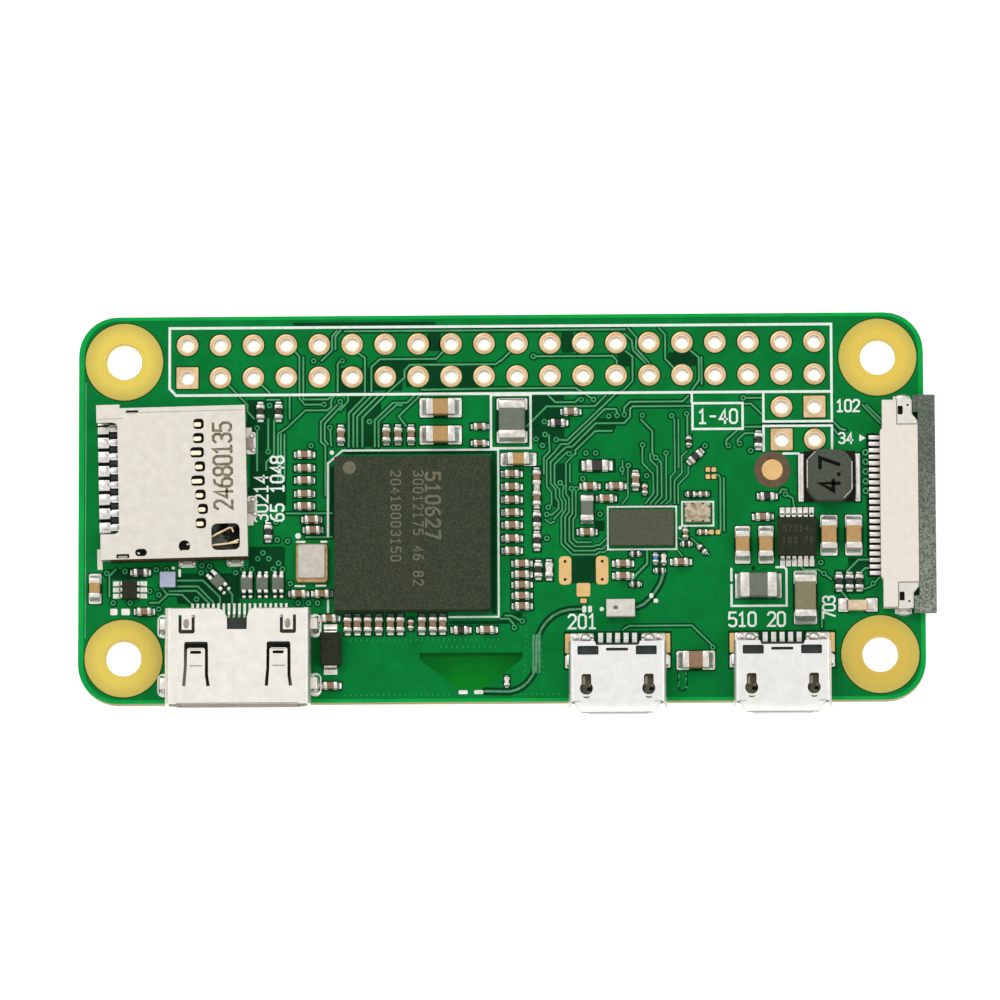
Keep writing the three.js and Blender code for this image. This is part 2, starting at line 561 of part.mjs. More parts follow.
{
  const g = group(0, 0, TOP);
  const H = CAM_H;
  const outline = poly(
    CAM_X0 + 0.17, -CAM_HALF, CAM_X1 - 0.42, -CAM_HALF, CAM_X1 - 0.42, -6.9, CAM_X1, -6.4,
    CAM_X1, 6.4, CAM_X1 - 0.42, 6.9, CAM_X1 - 0.42, CAM_HALF, CAM_X0 + 0.17, CAM_HALF,
    CAM_X0 + 0.17, 5.85, CAM_X0, 5.6, CAM_X0, -5.6, CAM_X0 + 0.17, -5.85);
  const body = cut(
    slab(outline, 0, H),
    box(29.95, -5.95, 0.24, CAM_X1 + 1, 5.95, 0.78),        // cable and slider slot
    box(CAM_X0 - 0.5, -5.5, -0.5, CAM_X0 + 0.55, 5.5, 0.2), // room for the tails
    box(30.38, 6.08, H - 0.16, CAM_X1 + 0.5, CAM_HALF + 0.5, H + 1),
    box(30.38, -CAM_HALF - 0.5, H - 0.16, CAM_X1 + 0.5, -6.08, H + 1),
  );
  add('camera_connector_housing', body, M.plasticCream, g);

  for (const [name, s] of [['camera_hold_down_upper', 1], ['camera_hold_down_lower', -1]]) {
    const yy = (a, b) => [Math.min(s * a, s * b), Math.max(s * a, s * b)];
    const [p0, p1] = yy(6.1, 8.1);
    const plate = [V2(30.4, s * 6.1), V2(31.9, s * 6.1), V2(31.9, s * 6.45), V2(31.5, s * 6.95), V2(31.5, s * 8.1), V2(30.4, s * 8.1)];
    const hole = roundRect(30.5, Math.min(s * 6.85, s * 7.5), 30.85, Math.max(s * 6.85, s * 7.5), 0.05, 1);
    const [w0, w1] = yy(CAM_HALF + EPS, CAM_HALF + 0.14);
    const [f0, f1] = yy(CAM_HALF + EPS, CAM_HALF + 0.42);
    add(name, join(
      slab(s > 0 ? plate : plate.slice().reverse(), H - 0.14, H, [hole]),
      box(30.4, w0, 0, 31.3, w1, H),
      box(30.15, f0, 0, 31.45, f1, 0.14),
    ), M.tin, g);
  }

  const slider = group(0, 0, 0, 0, g);
  add('camera_slider', join(
    box(CAM_X1 + EPS, -8.4, 0.15, CAM_X1 + 1.33, 8.4, 1.16),
    box(30.2, -5.6, 0.3, CAM_X1 + EPS + 0.1, 5.6, 0.55),
    box(CAM_X1 - 0.38, 7.1, 0.2, CAM_X1 + 0.1, 8.4, 1.02),
    box(CAM_X1 - 0.38, -8.4, 0.2, CAM_X1 + 0.1, -7.1, 1.02),
  ), M.plasticGrey, slider);

  const tails = [box(CAM_X0 + 0.12, -5.35, 0, CAM_X0 + 0.42, 5.35, 0.15)];
  for (let i = 0; i < CAM_TAILS; i++) {
    const y = (i - (CAM_TAILS - 1) / 2) * CAM_PITCH;
    tails.push(box(28.27, y - 0.12, 0, CAM_X0 + 0.2, y + 0.12, 0.12));
  }
  add('camera_connector_contacts', join(...tails), M.solderTin, g);
}

export default root;
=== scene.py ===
# Visual model of a small single board computer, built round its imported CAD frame.
# Positions below are in millimetres in the board's own frame and are turned into metres on the way in.
import math
import random

import bmesh
import bpy
from mathutils import Matrix, Vector, geometry


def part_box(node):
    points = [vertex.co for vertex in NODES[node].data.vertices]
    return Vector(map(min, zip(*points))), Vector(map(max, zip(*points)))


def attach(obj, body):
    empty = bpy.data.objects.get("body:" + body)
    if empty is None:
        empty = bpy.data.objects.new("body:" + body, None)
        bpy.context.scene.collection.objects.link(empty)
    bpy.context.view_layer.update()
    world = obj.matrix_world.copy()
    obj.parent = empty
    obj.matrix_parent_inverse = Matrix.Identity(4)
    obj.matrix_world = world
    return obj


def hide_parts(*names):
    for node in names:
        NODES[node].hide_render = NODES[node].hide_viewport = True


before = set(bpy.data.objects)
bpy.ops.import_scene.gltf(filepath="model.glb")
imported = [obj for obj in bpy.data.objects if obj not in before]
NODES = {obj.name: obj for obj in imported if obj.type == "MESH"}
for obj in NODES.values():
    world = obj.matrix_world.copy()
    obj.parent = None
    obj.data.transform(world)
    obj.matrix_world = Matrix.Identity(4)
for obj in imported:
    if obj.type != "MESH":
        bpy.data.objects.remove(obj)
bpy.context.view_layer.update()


MM = 0.001
TOP = 1.4
rnd = random.Random(7)

# ------------------------------------------------------------------ materials


def srgb(h):
    h = h.lstrip("#")
    out = []
    for i in (0, 2, 4):
        c = int(h[i:i + 2], 16) / 255
        out.append(c / 12.92 if c <= 0.04045 else ((c + 0.055) / 1.055) ** 2.4)
    return (*out, 1.0)


def shade(c, k):
    return (min(c[0] * k, 1), min(c[1] * k, 1), min(c[2] * k, 1), 1.0)


class Mat:
    """A procedural material: two close colours mottled by noise, varied roughness and a fine bump."""

    def __init__(self, name, a, b=None, rough=0.5, rough_b=None, metal=0.0, scale=900, detail=4,
                 bump=0.0, bump_scale=6000, spec=0.5, coat=0.0, contrast=(0.35, 0.65), stretch=None):
        m = bpy.data.materials.new(name)
        m.use_nodes = True
        self.m = m
        nt = m.node_tree
        self.nt = nt
        self.bsdf = nt.nodes["Principled BSDF"]
        self.bsdf.inputs["Metallic"].default_value = metal
        self.bsdf.inputs["Specular IOR Level"].default_value = spec
        self.bsdf.inputs["Coat Weight"].default_value = coat
        self.bsdf.inputs["Roughness"].default_value = rough
        a = srgb(a) if isinstance(a, str) else a
        b = shade(a, 0.8) if b is None else (srgb(b) if isinstance(b, str) else b)
        tc = nt.nodes.new("ShaderNodeTexCoord")
        self.coord = tc.outputs["Object"]
        if stretch:
            mp = nt.nodes.new("ShaderNodeMapping")
            mp.inputs["Scale"].default_value = stretch
            nt.links.new(self.coord, mp.inputs["Vector"])
            self.coord = mp.outputs["Vector"]
        n = self.noise(scale, detail)
        self.mix = self.blend(n, a, b, contrast)
        nt.links.new(self.mix, self.bsdf.inputs["Base Color"])
        if rough_b is not None:
            r = nt.nodes.new("ShaderNodeMapRange")
            r.inputs["From Min"].default_value = 0.3
            r.inputs["From Max"].default_value = 0.7
            r.inputs["To Min"].default_value = rough
            r.inputs["To Max"].default_value = rough_b
            nt.links.new(self.noise(scale * 1.7, 3), r.inputs["Value"])
            nt.links.new(r.outputs["Result"], self.bsdf.inputs["Roughness"])
        if bump:
            bp = nt.nodes.new("ShaderNodeBump")
            bp.inputs["Strength"].default_value = 0.6
            bp.inputs["Distance"].default_value = bump * MM
            nt.links.new(self.noise(bump_scale, 3), bp.inputs["Height"])
            nt.links.new(bp.outputs["Normal"], self.bsdf.inputs["Normal"])

    def noise(self, scale, detail):
        n = self.nt.nodes.new("ShaderNodeTexNoise")
        n.inputs["Scale"].default_value = scale
        n.inputs["Detail"].default_value = detail
        n.inputs["Roughness"].default_value = 0.6
        self.nt.links.new(self.coord, n.inputs["Vector"])
        return n.outputs["Fac"]

    def blend(self, fac, a, b, contrast=(0.35, 0.65)):
        r = self.nt.nodes.new("ShaderNodeMapRange")
        r.inputs["From Min"].default_value = contrast[0]
        r.inputs["From Max"].default_value = contrast[1]
        self.nt.links.new(fac, r.inputs["Value"])
        mx = self.nt.nodes.new("ShaderNodeMix")
        mx.data_type = "RGBA"
        self.nt.links.new(r.outputs["Result"], mx.inputs["Factor"])
        for sock, val in (("A", a), ("B", b)):
            s = [i for i in mx.inputs if i.name == sock and i.type == "RGBA"][0]
            if isinstance(val, (tuple, list)):
                s.default_value = val
            else:
                self.nt.links.new(val, s)
        return [o for o in mx.outputs if o.type == "RGBA"][0]

    def over(self, fac, colour):
        """Lays another colour over what is there, by a 0 to 1 factor."""
        mx = self.nt.nodes.new("ShaderNodeMix")
        mx.data_type = "RGBA"
        self.nt.links.new(fac, mx.inputs["Factor"])
        a = [i for i in mx.inputs if i.name == "A" and i.type == "RGBA"][0]
        b = [i for i in mx.inputs if i.name == "B" and i.type == "RGBA"][0]
        self.nt.links.new(self.mix, a)
        b.default_value = colour
        self.mix = [o for o in mx.outputs if o.type == "RGBA"][0]
        self.nt.links.new(self.mix, self.bsdf.inputs["Base Color"])

    def band(self, source, lo, hi):
        r = self.nt.nodes.new("ShaderNodeMapRange")
        r.inputs["From Min"].default_value = lo
        r.inputs["From Max"].default_value = hi
        self.nt.links.new(source, r.inputs["Value"])
        return r.outputs["Result"]


MASK = Mat("mask_over_copper", "#076f2f", "#087d38", 0.5, 0.58, scale=420, detail=7, bump=0.003, bump_scale=2600, spec=0.03)
MASK_BARE = Mat("mask_over_laminate", "#063a1b", "#074321", 0.5, 0.58, scale=500, bump=0.003, bump_scale=2600, spec=0.03)
# Traces under the mask: the light green is partly the raised trace and partly a painted sheen on its sloped edges.
MASK_TRACE_SHEEN = Mat("mask_over_trace_with_sheen", "#56a470", "#3f955b", 0.45, 0.55, scale=700, bump=0.003, bump_scale=4000, spec=0.15)
MASK_RECESS = Mat("mask_antenna_window", "#07741f", "#067a1d", 0.5, scale=400, bump=0.003, bump_scale=2600, spec=0.03)
MASK_SPECK = Mat("mask_over_small_hole", "#2a9a52", "#1d8646", 0.5, scale=700, bump=0.003, bump_scale=4000, spec=0.1)
MASK_VIA = Mat("mask_over_via", "#3fa365", "#318f55", 0.45, 0.55, scale=900, bump=0.003, bump_scale=4000, spec=0.1)
MASK_WIDE = Mat("mask_over_feed", "#3f8a5b", "#699c79", 0.45, 0.55, scale=2400, bump=0.003, bump_scale=4000, spec=0.1)
# Pale spring metal that also glows: painted light for the springs and contact tips seen inside the card socket.
GLOW_BRIGHT = Mat("glowing_bright_spring", "#f4ecd6", "#dcc79c", 0.4, metal=0.3, scale=4200, bump=0.003, bump_scale=6000, spec=0.3)
GLOW_BRIGHT.bsdf.inputs["Emission Color"].default_value = (0.9, 0.82, 0.62, 1)
GLOW_BRIGHT.bsdf.inputs["Emission Strength"].default_value = 0.3
FLOOR_MIX = Mat("switch_floor", "#10150f", "#6b736b", 0.6, scale=900, detail=3, bump=0.003, bump_scale=6000, spec=0.1, contrast=(0.42, 0.6))
PALE = Mat("pale_chip", "#eadfdc", "#d9cbc6", 0.4, scale=3200, bump=0.004, bump_scale=6000)
SILK = Mat("printing_white", "#eef3ee", "#dbe6de", 0.6, scale=2600, bump=0.006, bump_scale=7000, spec=0.2)
GOLD = Mat("gold_pad", "#dfb574", "#e6bf82", 0.38, 0.46, metal=0.5, scale=1500, bump=0.003, bump_scale=5000, spec=0.3)
GOLD_PIN = Mat("gold_header_pad", "#e3c79a", "#d0aa78", 0.36, 0.44, metal=0.5, scale=1300, bump=0.004, bump_scale=4000, spec=0.3)
PIN_WALL = Mat("plated_wall", "#cf9a66", "#c48f5c", 0.5, scale=1300, bump=0.002, bump_scale=4000, spec=0.3)
# the rim of each plated hole catches light, the top of its wall is in shade, the rest is lit from below
pw = PIN_WALL.nt.nodes.new("ShaderNodeSeparateXYZ")
PIN_WALL.nt.links.new(PIN_WALL.coord, pw.inputs["Vector"])
PIN_WALL.over(PIN_WALL.band(pw.outputs["Z"], 0.00115, 0.0007), srgb("#fffdf9"))
PIN_WALL.over(PIN_WALL.band(pw.outputs["Z"], 0.00139, 0.0014), srgb("#f6e4c8"))
RING = Mat("bare_ring_yellow", "#e6cd5b", "#e0c757", 0.5, 0.6, metal=0.0, scale=170, bump=0.003, bump_scale=3500, spec=0.2)
rs = RING.nt.nodes.new("ShaderNodeSeparateXYZ")
RING.nt.links.new(RING.coord, rs.inputs["Vector"])


def maths(mat, op, a, b=None):
    m = mat.nt.nodes.new("ShaderNodeMath")
    m.operation = op
    for i, v in enumerate((a, b)):
        if isinstance(v, (int, float)):
            m.inputs[i].default_value = v
        elif v is not None:
            mat.nt.links.new(v, m.inputs[i])
    return m.outputs[0]


ring_x = maths(RING, "SUBTRACT", maths(RING, "ABSOLUTE", rs.outputs["X"]), 0.029)
ring_y = maths(RING, "SUBTRACT", maths(RING, "ABSOLUTE", rs.outputs["Y"]), 0.0115)
ring_d = maths(RING, "SQRT", maths(RING, "ADD", maths(RING, "MULTIPLY", ring_x, ring_x), maths(RING, "MULTIPLY", ring_y, ring_y)))
# Painted light and shade on the yellow mounting rings: a deeper gold toward the right of the board, painted shade
# toward the lower right and toward each ring's outer edge.
RING.over(maths(RING, "MULTIPLY", RING.band(rs.outputs["X"], -0.012, 0.02), 0.3), srgb("#dab23f"))
ring_shade_lower_right = maths(RING, "MULTIPLY", RING.band(rs.outputs["X"], -0.045, 0.02), RING.band(rs.outputs["Y"], 0.006, -0.0125))
RING.over(maths(RING, "MULTIPLY", ring_shade_lower_right, 0.5), srgb("#c4a64b"))
RING.over(RING.band(ring_d, 0.0020, 0.0031), srgb("#c2b056"))
ws = MASK_RECESS.nt.nodes.new("ShaderNodeSeparateXYZ")
MASK_RECESS.nt.links.new(MASK_RECESS.coord, ws.inputs["Vector"])
win_x = maths(MASK_RECESS, "ABSOLUTE", maths(MASK_RECESS, "ADD", ws.outputs["X"], 0.0023))
MASK_RECESS.over(maths(MASK_RECESS, "MULTIPLY", MASK_RECESS.band(win_x, 0.0012, 0.004), 0.75), srgb("#06521d"))
MASK_RECESS.over(maths(MASK_RECESS, "MULTIPLY", MASK_RECESS.band(ws.outputs["Y"], -0.0132, -0.0116), 0.5), srgb("#06521d"))
MASK_RECESS.over(maths(MASK_RECESS, "MULTIPLY", MASK_RECESS.band(ws.outputs["Y"], -0.0116, -0.01135), 0.7), srgb("#053c16"))
RING_WALL = Mat("ring_plated_wall", "#e6c672", "#dfbf6c", 0.5, scale=900, bump=0.002, bump_scale=3500, spec=0.2)
rw = RING_WALL.nt.nodes.new("ShaderNodeSeparateXYZ")
RING_WALL.nt.links.new(RING_WALL.coord, rw.inputs["Vector"])
# Painted light: the lower part of each mounting hole's wall is painted near white, as if lit from below.
RING_WALL.over(RING_WALL.band(rw.outputs["Z"], 0.0012, 0.0007), srgb("#fffdf4"))
TIN = Mat("tin_plated_sheet", "#e6e2d9", "#dcd8cf", 0.36, 0.44, metal=1.0, scale=1400, bump=0.0025, bump_scale=5200)
TIN_VIDEO = Mat("bright_tin_sheet", "#efebe2", "#e6e2d9", 0.36, 0.44, metal=1.0, scale=1400, bump=0.0025, bump_scale=5200)
TIN_USB = Mat("bright_plated_sheet", "#f0efec", "#e7e6e2", 0.36, 0.42, metal=1.0, scale=1400, bump=0.002, bump_scale=5200)
TIN_CARD = Mat("card_cover_sheet", "#e0dbd0", "#d7d2c7", 0.42, 0.5, metal=0.9, scale=1400, bump=0.003, bump_scale=5200)
TIN_SHADE = Mat("sheet_bend_shade", "#a9a497", "#98937f", 0.5, metal=0.6, scale=2400, bump=0.003, bump_scale=5200)
# A darker copy of the sheet, as painted shade: on the video shell's dimples, in the solder swirls and on the card
# socket's side tabs.
TIN_DIMPLE_SHADE = Mat("sheet_dimple_shade", "#948a7c", "#a89f91", 0.45, metal=0.7, scale=3000, bump=0.004, bump_scale=6000)
SOLDER = Mat("solder", "#f6f3ee", "#dad6cf", 0.28, 0.42, metal=0.82, scale=2500, bump=0.01, bump_scale=2600)
TERMINAL = Mat("tinned_terminal", "#f0ece5", "#cfc9be", 0.26, 0.38, metal=1.0, scale=3200, bump=0.006, bump_scale=6000)
CONTACT = Mat("gold_flashed_spring", "#f5e3bd", "#e8c48a", 0.3, 0.38, metal=0.8, scale=2500, bump=0.003, bump_scale=6000)
TAN = Mat("capacitor_tan", "#bb9662", "#ad8852", 0.5, 0.6, scale=4200, bump=0.006, bump_scale=9000, spec=0.3)
BROWN = Mat("capacitor_brown", "#96785f", "#86694f", 0.5, 0.6, scale=4200, bump=0.006, bump_scale=9000, spec=0.3)
OLIVE = Mat("capacitor_olive", "#878162", "#7a7455", 0.5, 0.6, scale=4200, bump=0.006, bump_scale=9000, spec=0.3)
RES_BLACK = Mat("resistor_glaze", "#1d1b1a", "#2c2826", 0.3, 0.4, scale=3000, bump=0.004, bump_scale=8000)
CHOKE = Mat("choke_grey", "#6f776b", "#626a5e", 0.55, 0.65, scale=5200, bump=0.008, bump_scale=9000, spec=0.3)
BLUE = Mat("capacitor_blue", "#3f86c9", "#3577b6", 0.4, scale=3000, bump=0.004, bump_scale=8000)
PKG = Mat("moulded_package", "#333a2b", "#454c3c", 0.62, 0.7, scale=6200, detail=2, bump=0.008, bump_scale=9000, contrast=(0.36, 0.66), spec=0.03)
PKG_DARK = Mat("moulded_package_dark", "#292e21", "#33382a", 0.6, 0.7, scale=5200, detail=2, bump=0.008, bump_scale=9000, spec=0.03)
PKG_GREY = Mat("moulded_package_grey", "#505342", "#5a5d4b", 0.6, 0.7, scale=6000, detail=2, bump=0.006, bump_scale=9000, spec=0.03)
MARK = Mat("laser_mark", "#77735f", "#646350", 0.7, scale=6000, bump=0.003, bump_scale=9000, spec=0.15)
MARK_GREY = Mat("laser_mark_dim", "#4a4e3e", "#424636", 0.7, scale=6000, bump=0.003, bump_scale=9000, spec=0.15)
STAMP = Mat("stamped_mark", "#6a654d", "#8f8a74", 0.6, 0.7, metal=0.2, scale=4200, bump=0.006, bump_scale=6000, spec=0.2, contrast=(0.45, 0.6))
FERRITE = Mat("ferrite_grey", "#555b50", "#484d43", 0.55, 0.68, scale=5000, bump=0.012, bump_scale=8000, spec=0.08)
BASE_BLACK = Mat("base_black", "#17130f", "#2a2018", 0.5, scale=3000, bump=0.004, bump_scale=8000, spec=0.08)
# Black for printed marks, and also for plates and spots that stand for shade in openings, slots, holes and gaps
# (painted shade).
INK_AND_SHADE = Mat("ink_and_painted_shade_black", "#0d0e0b", "#171813", 0.6, scale=4000, bump=0.003, bump_scale=8000, spec=0.03)
CREAM = Mat("connector_cream", "#eae1d6", "#e4dbcf", 0.55, 0.63, scale=2200, bump=0.004, bump_scale=6000, spec=0.25)
SLIDER = Mat("slider_grey", "#586056", "#9ba297", 0.6, 0.7, scale=6500, detail=5, bump=0.01, bump_scale=3500, contrast=(0.4, 0.62), spec=0.1)
sl = SLIDER.nt.nodes.new("ShaderNodeSeparateXYZ")
SLIDER.nt.links.new(SLIDER.coord, sl.inputs["Vector"])
# Painted shade: the slider is darkened toward its upper (+y) end.
SLIDER.over(maths(SLIDER, "MULTIPLY", SLIDER.band(sl.outputs["Y"], -0.0075, 0.0045), 0.62), srgb("#474f45"))
DARK = Mat("socket_moulding", "#3a3f3b", "#2e3330", 0.55, 0.65, scale=2500, bump=0.004, bump_scale=7000, spec=0.15)
WALL_BROWN = Mat("cover_side_shade", "#4a402b", "#352d1c", 0.6, metal=0.2, scale=1500, bump=0.003, bump_scale=6000, spec=0.1)
# Dark olive for the plates inside the micro sockets, standing for the shade in there (painted shade).
DARK_OLIVE_SHADE = Mat("socket_inside_shade", "#5f5c46", "#4c4a38", 0.5, metal=0.3, scale=2500, bump=0.004, bump_scale=7000, spec=0.3)
WHITE = Mat("filter_ceramic", "#ddd8cf", "#cfc9be", 0.5, 0.6, scale=2600, bump=0.004, bump_scale=7000, spec=0.3)
LED = Mat("led_resin", "#e2cdab", "#d0b390", 0.4, 0.5, scale=2600, bump=0.004, bump_scale=7000)
DIE = Mat("bare_die", "#b3b9cd", "#a3a8c0", 0.28, 0.36, metal=0.15, scale=1800, bump=0.002, bump_scale=9000)
TEST_RING = Mat("test_pad_ring", "#6a5540", "#5a4835", 0.5, scale=1500, bump=0.005, bump_scale=5000, spec=0.2)
DARK_DOT = Mat("hole_shadow", "#06250f", "#082b13", 0.7, scale=2000, bump=0.004, bump_scale=6000, spec=0.1)
CRYSTAL_RIM = Mat("crystal_gilt_rim", "#cfae7c", "#a98352", 0.35, 0.45, metal=0.7, scale=2500, bump=0.004, bump_scale=6000)
CRYSTAL_LID = Mat("crystal_lid", "#cdc7bd", "#bdb6aa", 0.4, 0.5, metal=0.5, scale=2600, detail=6, bump=0.005, bump_scale=5200)
CRYSTAL_TOP = Mat("small_crystal_lid", "#cfc3ad", "#8a7450", 0.4, 0.5, metal=0.5, scale=2600, detail=6, bump=0.006, bump_scale=5200, contrast=(0.38, 0.66))

# the board's walls show the glass-epoxy laminate, its faces show the mask
BOARD = Mat("board_laminate", "#0c9a42", "#12a848", 0.5, 0.58, scale=300, bump=0.004, bump_scale=2600, spec=0.03)
geo = BOARD.nt.nodes.new("ShaderNodeNewGeometry")
sep = BOARD.nt.nodes.new("ShaderNodeSeparateXYZ")
BOARD.nt.links.new(geo.outputs["Normal"], sep.inputs["Vector"])
ab = BOARD.nt.nodes.new("ShaderNodeMath")
ab.operation = "ABSOLUTE"
BOARD.nt.links.new(sep.outputs["Z"], ab.inputs[0])
wall = BOARD.nt.nodes.new("ShaderNodeMath")
wall.operation = "LESS_THAN"
wall.inputs[1].default_value = 0.5
BOARD.nt.links.new(ab.outputs[0], wall.inputs[0])
layers = BOARD.nt.nodes.new("ShaderNodeMapping")
layers.inputs["Scale"].default_value = (0.12, 0.12, 6.0)
BOARD.nt.links.new(BOARD.coord, layers.inputs["Vector"])
weave = BOARD.nt.nodes.new("ShaderNodeTexNoise")
weave.inputs["Scale"].default_value = 1300
BOARD.nt.links.new(layers.outputs["Vector"], weave.inputs["Vector"])
edge = BOARD.blend(weave.outputs["Fac"], srgb("#b9ab7c"), srgb("#8f8a58"))
mx = BOARD.nt.nodes.new("ShaderNodeMix")
mx.data_type = "RGBA"
BOARD.nt.links.new(wall.outputs[0], mx.inputs["Factor"])
BOARD.nt.links.new(BOARD.mix, [i for i in mx.inputs if i.name == "A" and i.type == "RGBA"][0])
BOARD.nt.links.new(edge, [i for i in mx.inputs if i.name == "B" and i.type == "RGBA"][0])
BOARD.nt.links.new([o for o in mx.outputs if o.type == "RGBA"][0], BOARD.bsdf.inputs["Base Color"])

# card contacts are tinned at their tails and gilt along their springs
CARD_CONTACT = Mat("card_spring", "#f3dfb8", "#e8c78f", 0.3, 0.38, metal=0.85, scale=2500, bump=0.003, bump_scale=6000)
cs = CARD_CONTACT.nt.nodes.new("ShaderNodeSeparateXYZ")
CARD_CONTACT.nt.links.new(CARD_CONTACT.coord, cs.inputs["Vector"])
CARD_CONTACT.over(CARD_CONTACT.band(cs.outputs["X"], -0.0288, -0.0291), srgb("#f4f3f0"))

# ------------------------------------------------------------------ mesh building


class Piece:
    """Collects closed bodies, in millimetres, into one Blender mesh."""

    def __init__(self, name, mat, slot, body="board", smooth=35, replaces=()):
        self.name, self.mat, self.slot, self.body = name, mat, slot, body
        self.smooth, self.replaced = smooth, replaces
        self.v, self.f = [], []
        ALL.append(self)

    def add(self, part, at=None):
        v, f = part
        if at is not None:
            v = [at @ Vector(p) for p in v]
        n = len(self.v)
        self.v.extend(tuple(p) for p in v)
        self.f.extend(tuple(i + n for i in face) for face in f)

    def make(self):
        if not self.v:
            return None
        me = bpy.data.meshes.new(self.name)
        me.from_pydata([(x * MM, y * MM, z * MM) for x, y, z in self.v], [], self.f)
        bm = bmesh.new()
        bm.from_mesh(me)
        bmesh.ops.dissolve_degenerate(bm, dist=1e-9, edges=bm.edges)
        bmesh.ops.recalc_face_normals(bm, faces=bm.faces)
        bm.to_mesh(me)
        bm.free()
        me.materials.append(self.mat.m)
        if self.smooth:
            me.polygons.foreach_set("use_smooth", [True] * len(me.polygons))
            me.set_sharp_from_angle(angle=math.radians(self.smooth))
        me.update()
        o = bpy.data.objects.new(self.name, me)
        bpy.context.scene.collection.objects.link(o)
        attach(o, self.body)
        if self.replaced:
            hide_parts(*self.replaced)
        return o


ALL = []


def place(x=0.0, y=0.0, z=0.0, deg=0.0):
    return Matrix.Translation((x, y, z)) @ Matrix.Rotation(math.radians(deg), 4, "Z")


def ring(cx, cy, r, n=24, turn=0.0):
    return [(cx + r * math.cos(turn + 2 * math.pi * i / n), cy + r * math.sin(turn + 2 * math.pi * i / n)) for i in range(n)]


def rrect(x0, y0, x1, y1, r, n=4):
    r = min(r, (x1 - x0) / 2 - 1e-6, (y1 - y0) / 2 - 1e-6)
    pts = []
    for cx, cy, a0 in ((x1 - r, y1 - r, 0), (x0 + r, y1 - r, 90), (x0 + r, y0 + r, 180), (x1 - r, y0 + r, 270)):
        for i in range(n + 1):
            a = math.radians(a0 + 90 * i / n)
            pts.append((cx + r * math.cos(a), cy + r * math.sin(a)))
    return pts


def area(p):
    return sum(p[i][0] * p[(i + 1) % len(p)][1] - p[(i + 1) % len(p)][0] * p[i][1] for i in range(len(p))) / 2


def prism(outline, z0, z1, holes=()):
    loops = [outline if area(outline) > 0 else outline[::-1]]
    loops += [h[::-1] if area(h) > 0 else h for h in holes]
    flat = [p for loop in loops for p in loop]
    n = len(flat)
    tris = geometry.tessellate_polygon([[Vector((x, y, 0)) for x, y in loop] for loop in loops])
    verts = [(x, y, z0) for x, y in flat] + [(x, y, z1) for x, y in flat]
    faces = []
    for t in tris:
        a, b, c = (Vector(flat[i]) for i in t)
        s = (b - a).cross(c - a)
        if abs(s) < 1e-12:
            continue
        t = tuple(t) if s > 0 else tuple(t)[::-1]
        faces.append(tuple(i + n for i in t))
        faces.append(tuple(t)[::-1])
    k = 0
    for loop in loops:
        m = len(loop)
        for i in range(m):
            a, b = k + i, k + (i + 1) % m
            faces.append((a, b, b + n, a + n))
        k += m
    return verts, faces


def strip(path, w, z0, z1, slope=0.0, ends=True):
    """A strip of width w along a path, its walls sloped by slope, its ends rounded."""
    pts = [Vector(p) for p in path]
    out = [pts[0]]
    for p in pts[1:]:
        if (p - out[-1]).length > 1e-5:
            out.append(p)
    pts = out
    closed = len(pts) > 3 and (pts[0] - pts[-1]).length < 1e-5
    if closed:
        pts = pts[:-1]
        ends = False
    rows = []
    n = len(pts)
    first = (pts[1] - pts[0]).normalized()
    last = (pts[-1] - pts[-2]).normalized()

    def row(c, normal, half):
        rows.append((c + normal * half, c - normal * half))

    def perp(d):
        return Vector((-d.y, d.x))

    if ends:
        for a in (75, 45, 20):
            a = math.radians(a)
            row(pts[0] - first * (w / 2) * math.sin(a), perp(first), w / 2 * math.cos(a))
    for i in range(n):
        d1 = (pts[i] - pts[i - 1]).normalized() if i or closed else first
        d2 = (pts[(i + 1) % n] - pts[i]).normalized() if i < n - 1 or closed else last
        m = (perp(d1) + perp(d2))
        m = m.normalized() if m.length > 1e-6 else perp(d2)
        row(pts[i], m, w / 2 / max(m.dot(perp(d2)), 0.5))
    if ends:
        for a in (20, 45, 75):
            a = math.radians(a)
            row(pts[-1] + last * (w / 2) * math.sin(a), perp(last), w / 2 * math.cos(a))
    verts, faces = [], []
    for left, right in rows:
        d = (left - right)
        d = d.normalized() * slope if d.length > 1e-9 else Vector((0, 0))
        verts += [(*(left + d), z0), (*left, z1), (*right, z1), (*(right - d), z0)]
    for i in range(len(rows) - (0 if closed else 1)):
        a, b = 4 * i, 4 * ((i + 1) % len(rows))
        faces += [(a + 1, a + 2, b + 2, b + 1), (a, a + 1, b + 1, b), (a + 2, a + 3, b + 3, b + 2), (a + 3, a, b, b + 3)]
    if not closed:
        e = 4 * (len(rows) - 1)
        faces += [(3, 2, 1, 0), (e, e + 1, e + 2, e + 3)]
    return verts, faces


def rbox(x0, y0, z0, x1, y1, z1, r, seg=2, bottom=True):
    """A box with rounded edges."""
    bm = bmesh.new()
    bmesh.ops.create_cube(bm, size=1.0)
    for v in bm.verts:
        v.co = Vector(((x0 + x1) / 2 + v.co.x * (x1 - x0), (y0 + y1) / 2 + v.co.y * (y1 - y0), (z0 + z1) / 2 + v.co.z * (z1 - z0)))
    r = min(r, (x1 - x0) * 0.49, (y1 - y0) * 0.49, (z1 - z0) * 0.49)
    edges = [e for e in bm.edges if bottom or not all(v.co.z < (z0 + z1) / 2 for v in e.verts)]
    bmesh.ops.bevel(bm, geom=edges, offset=r, segments=seg, profile=0.5, affect="EDGES")
    bm.verts.ensure_lookup_table()
    out = ([tuple(v.co) for v in bm.verts], [tuple(v.index for v in f.verts) for f in bm.faces])
    bm.free()
    return out


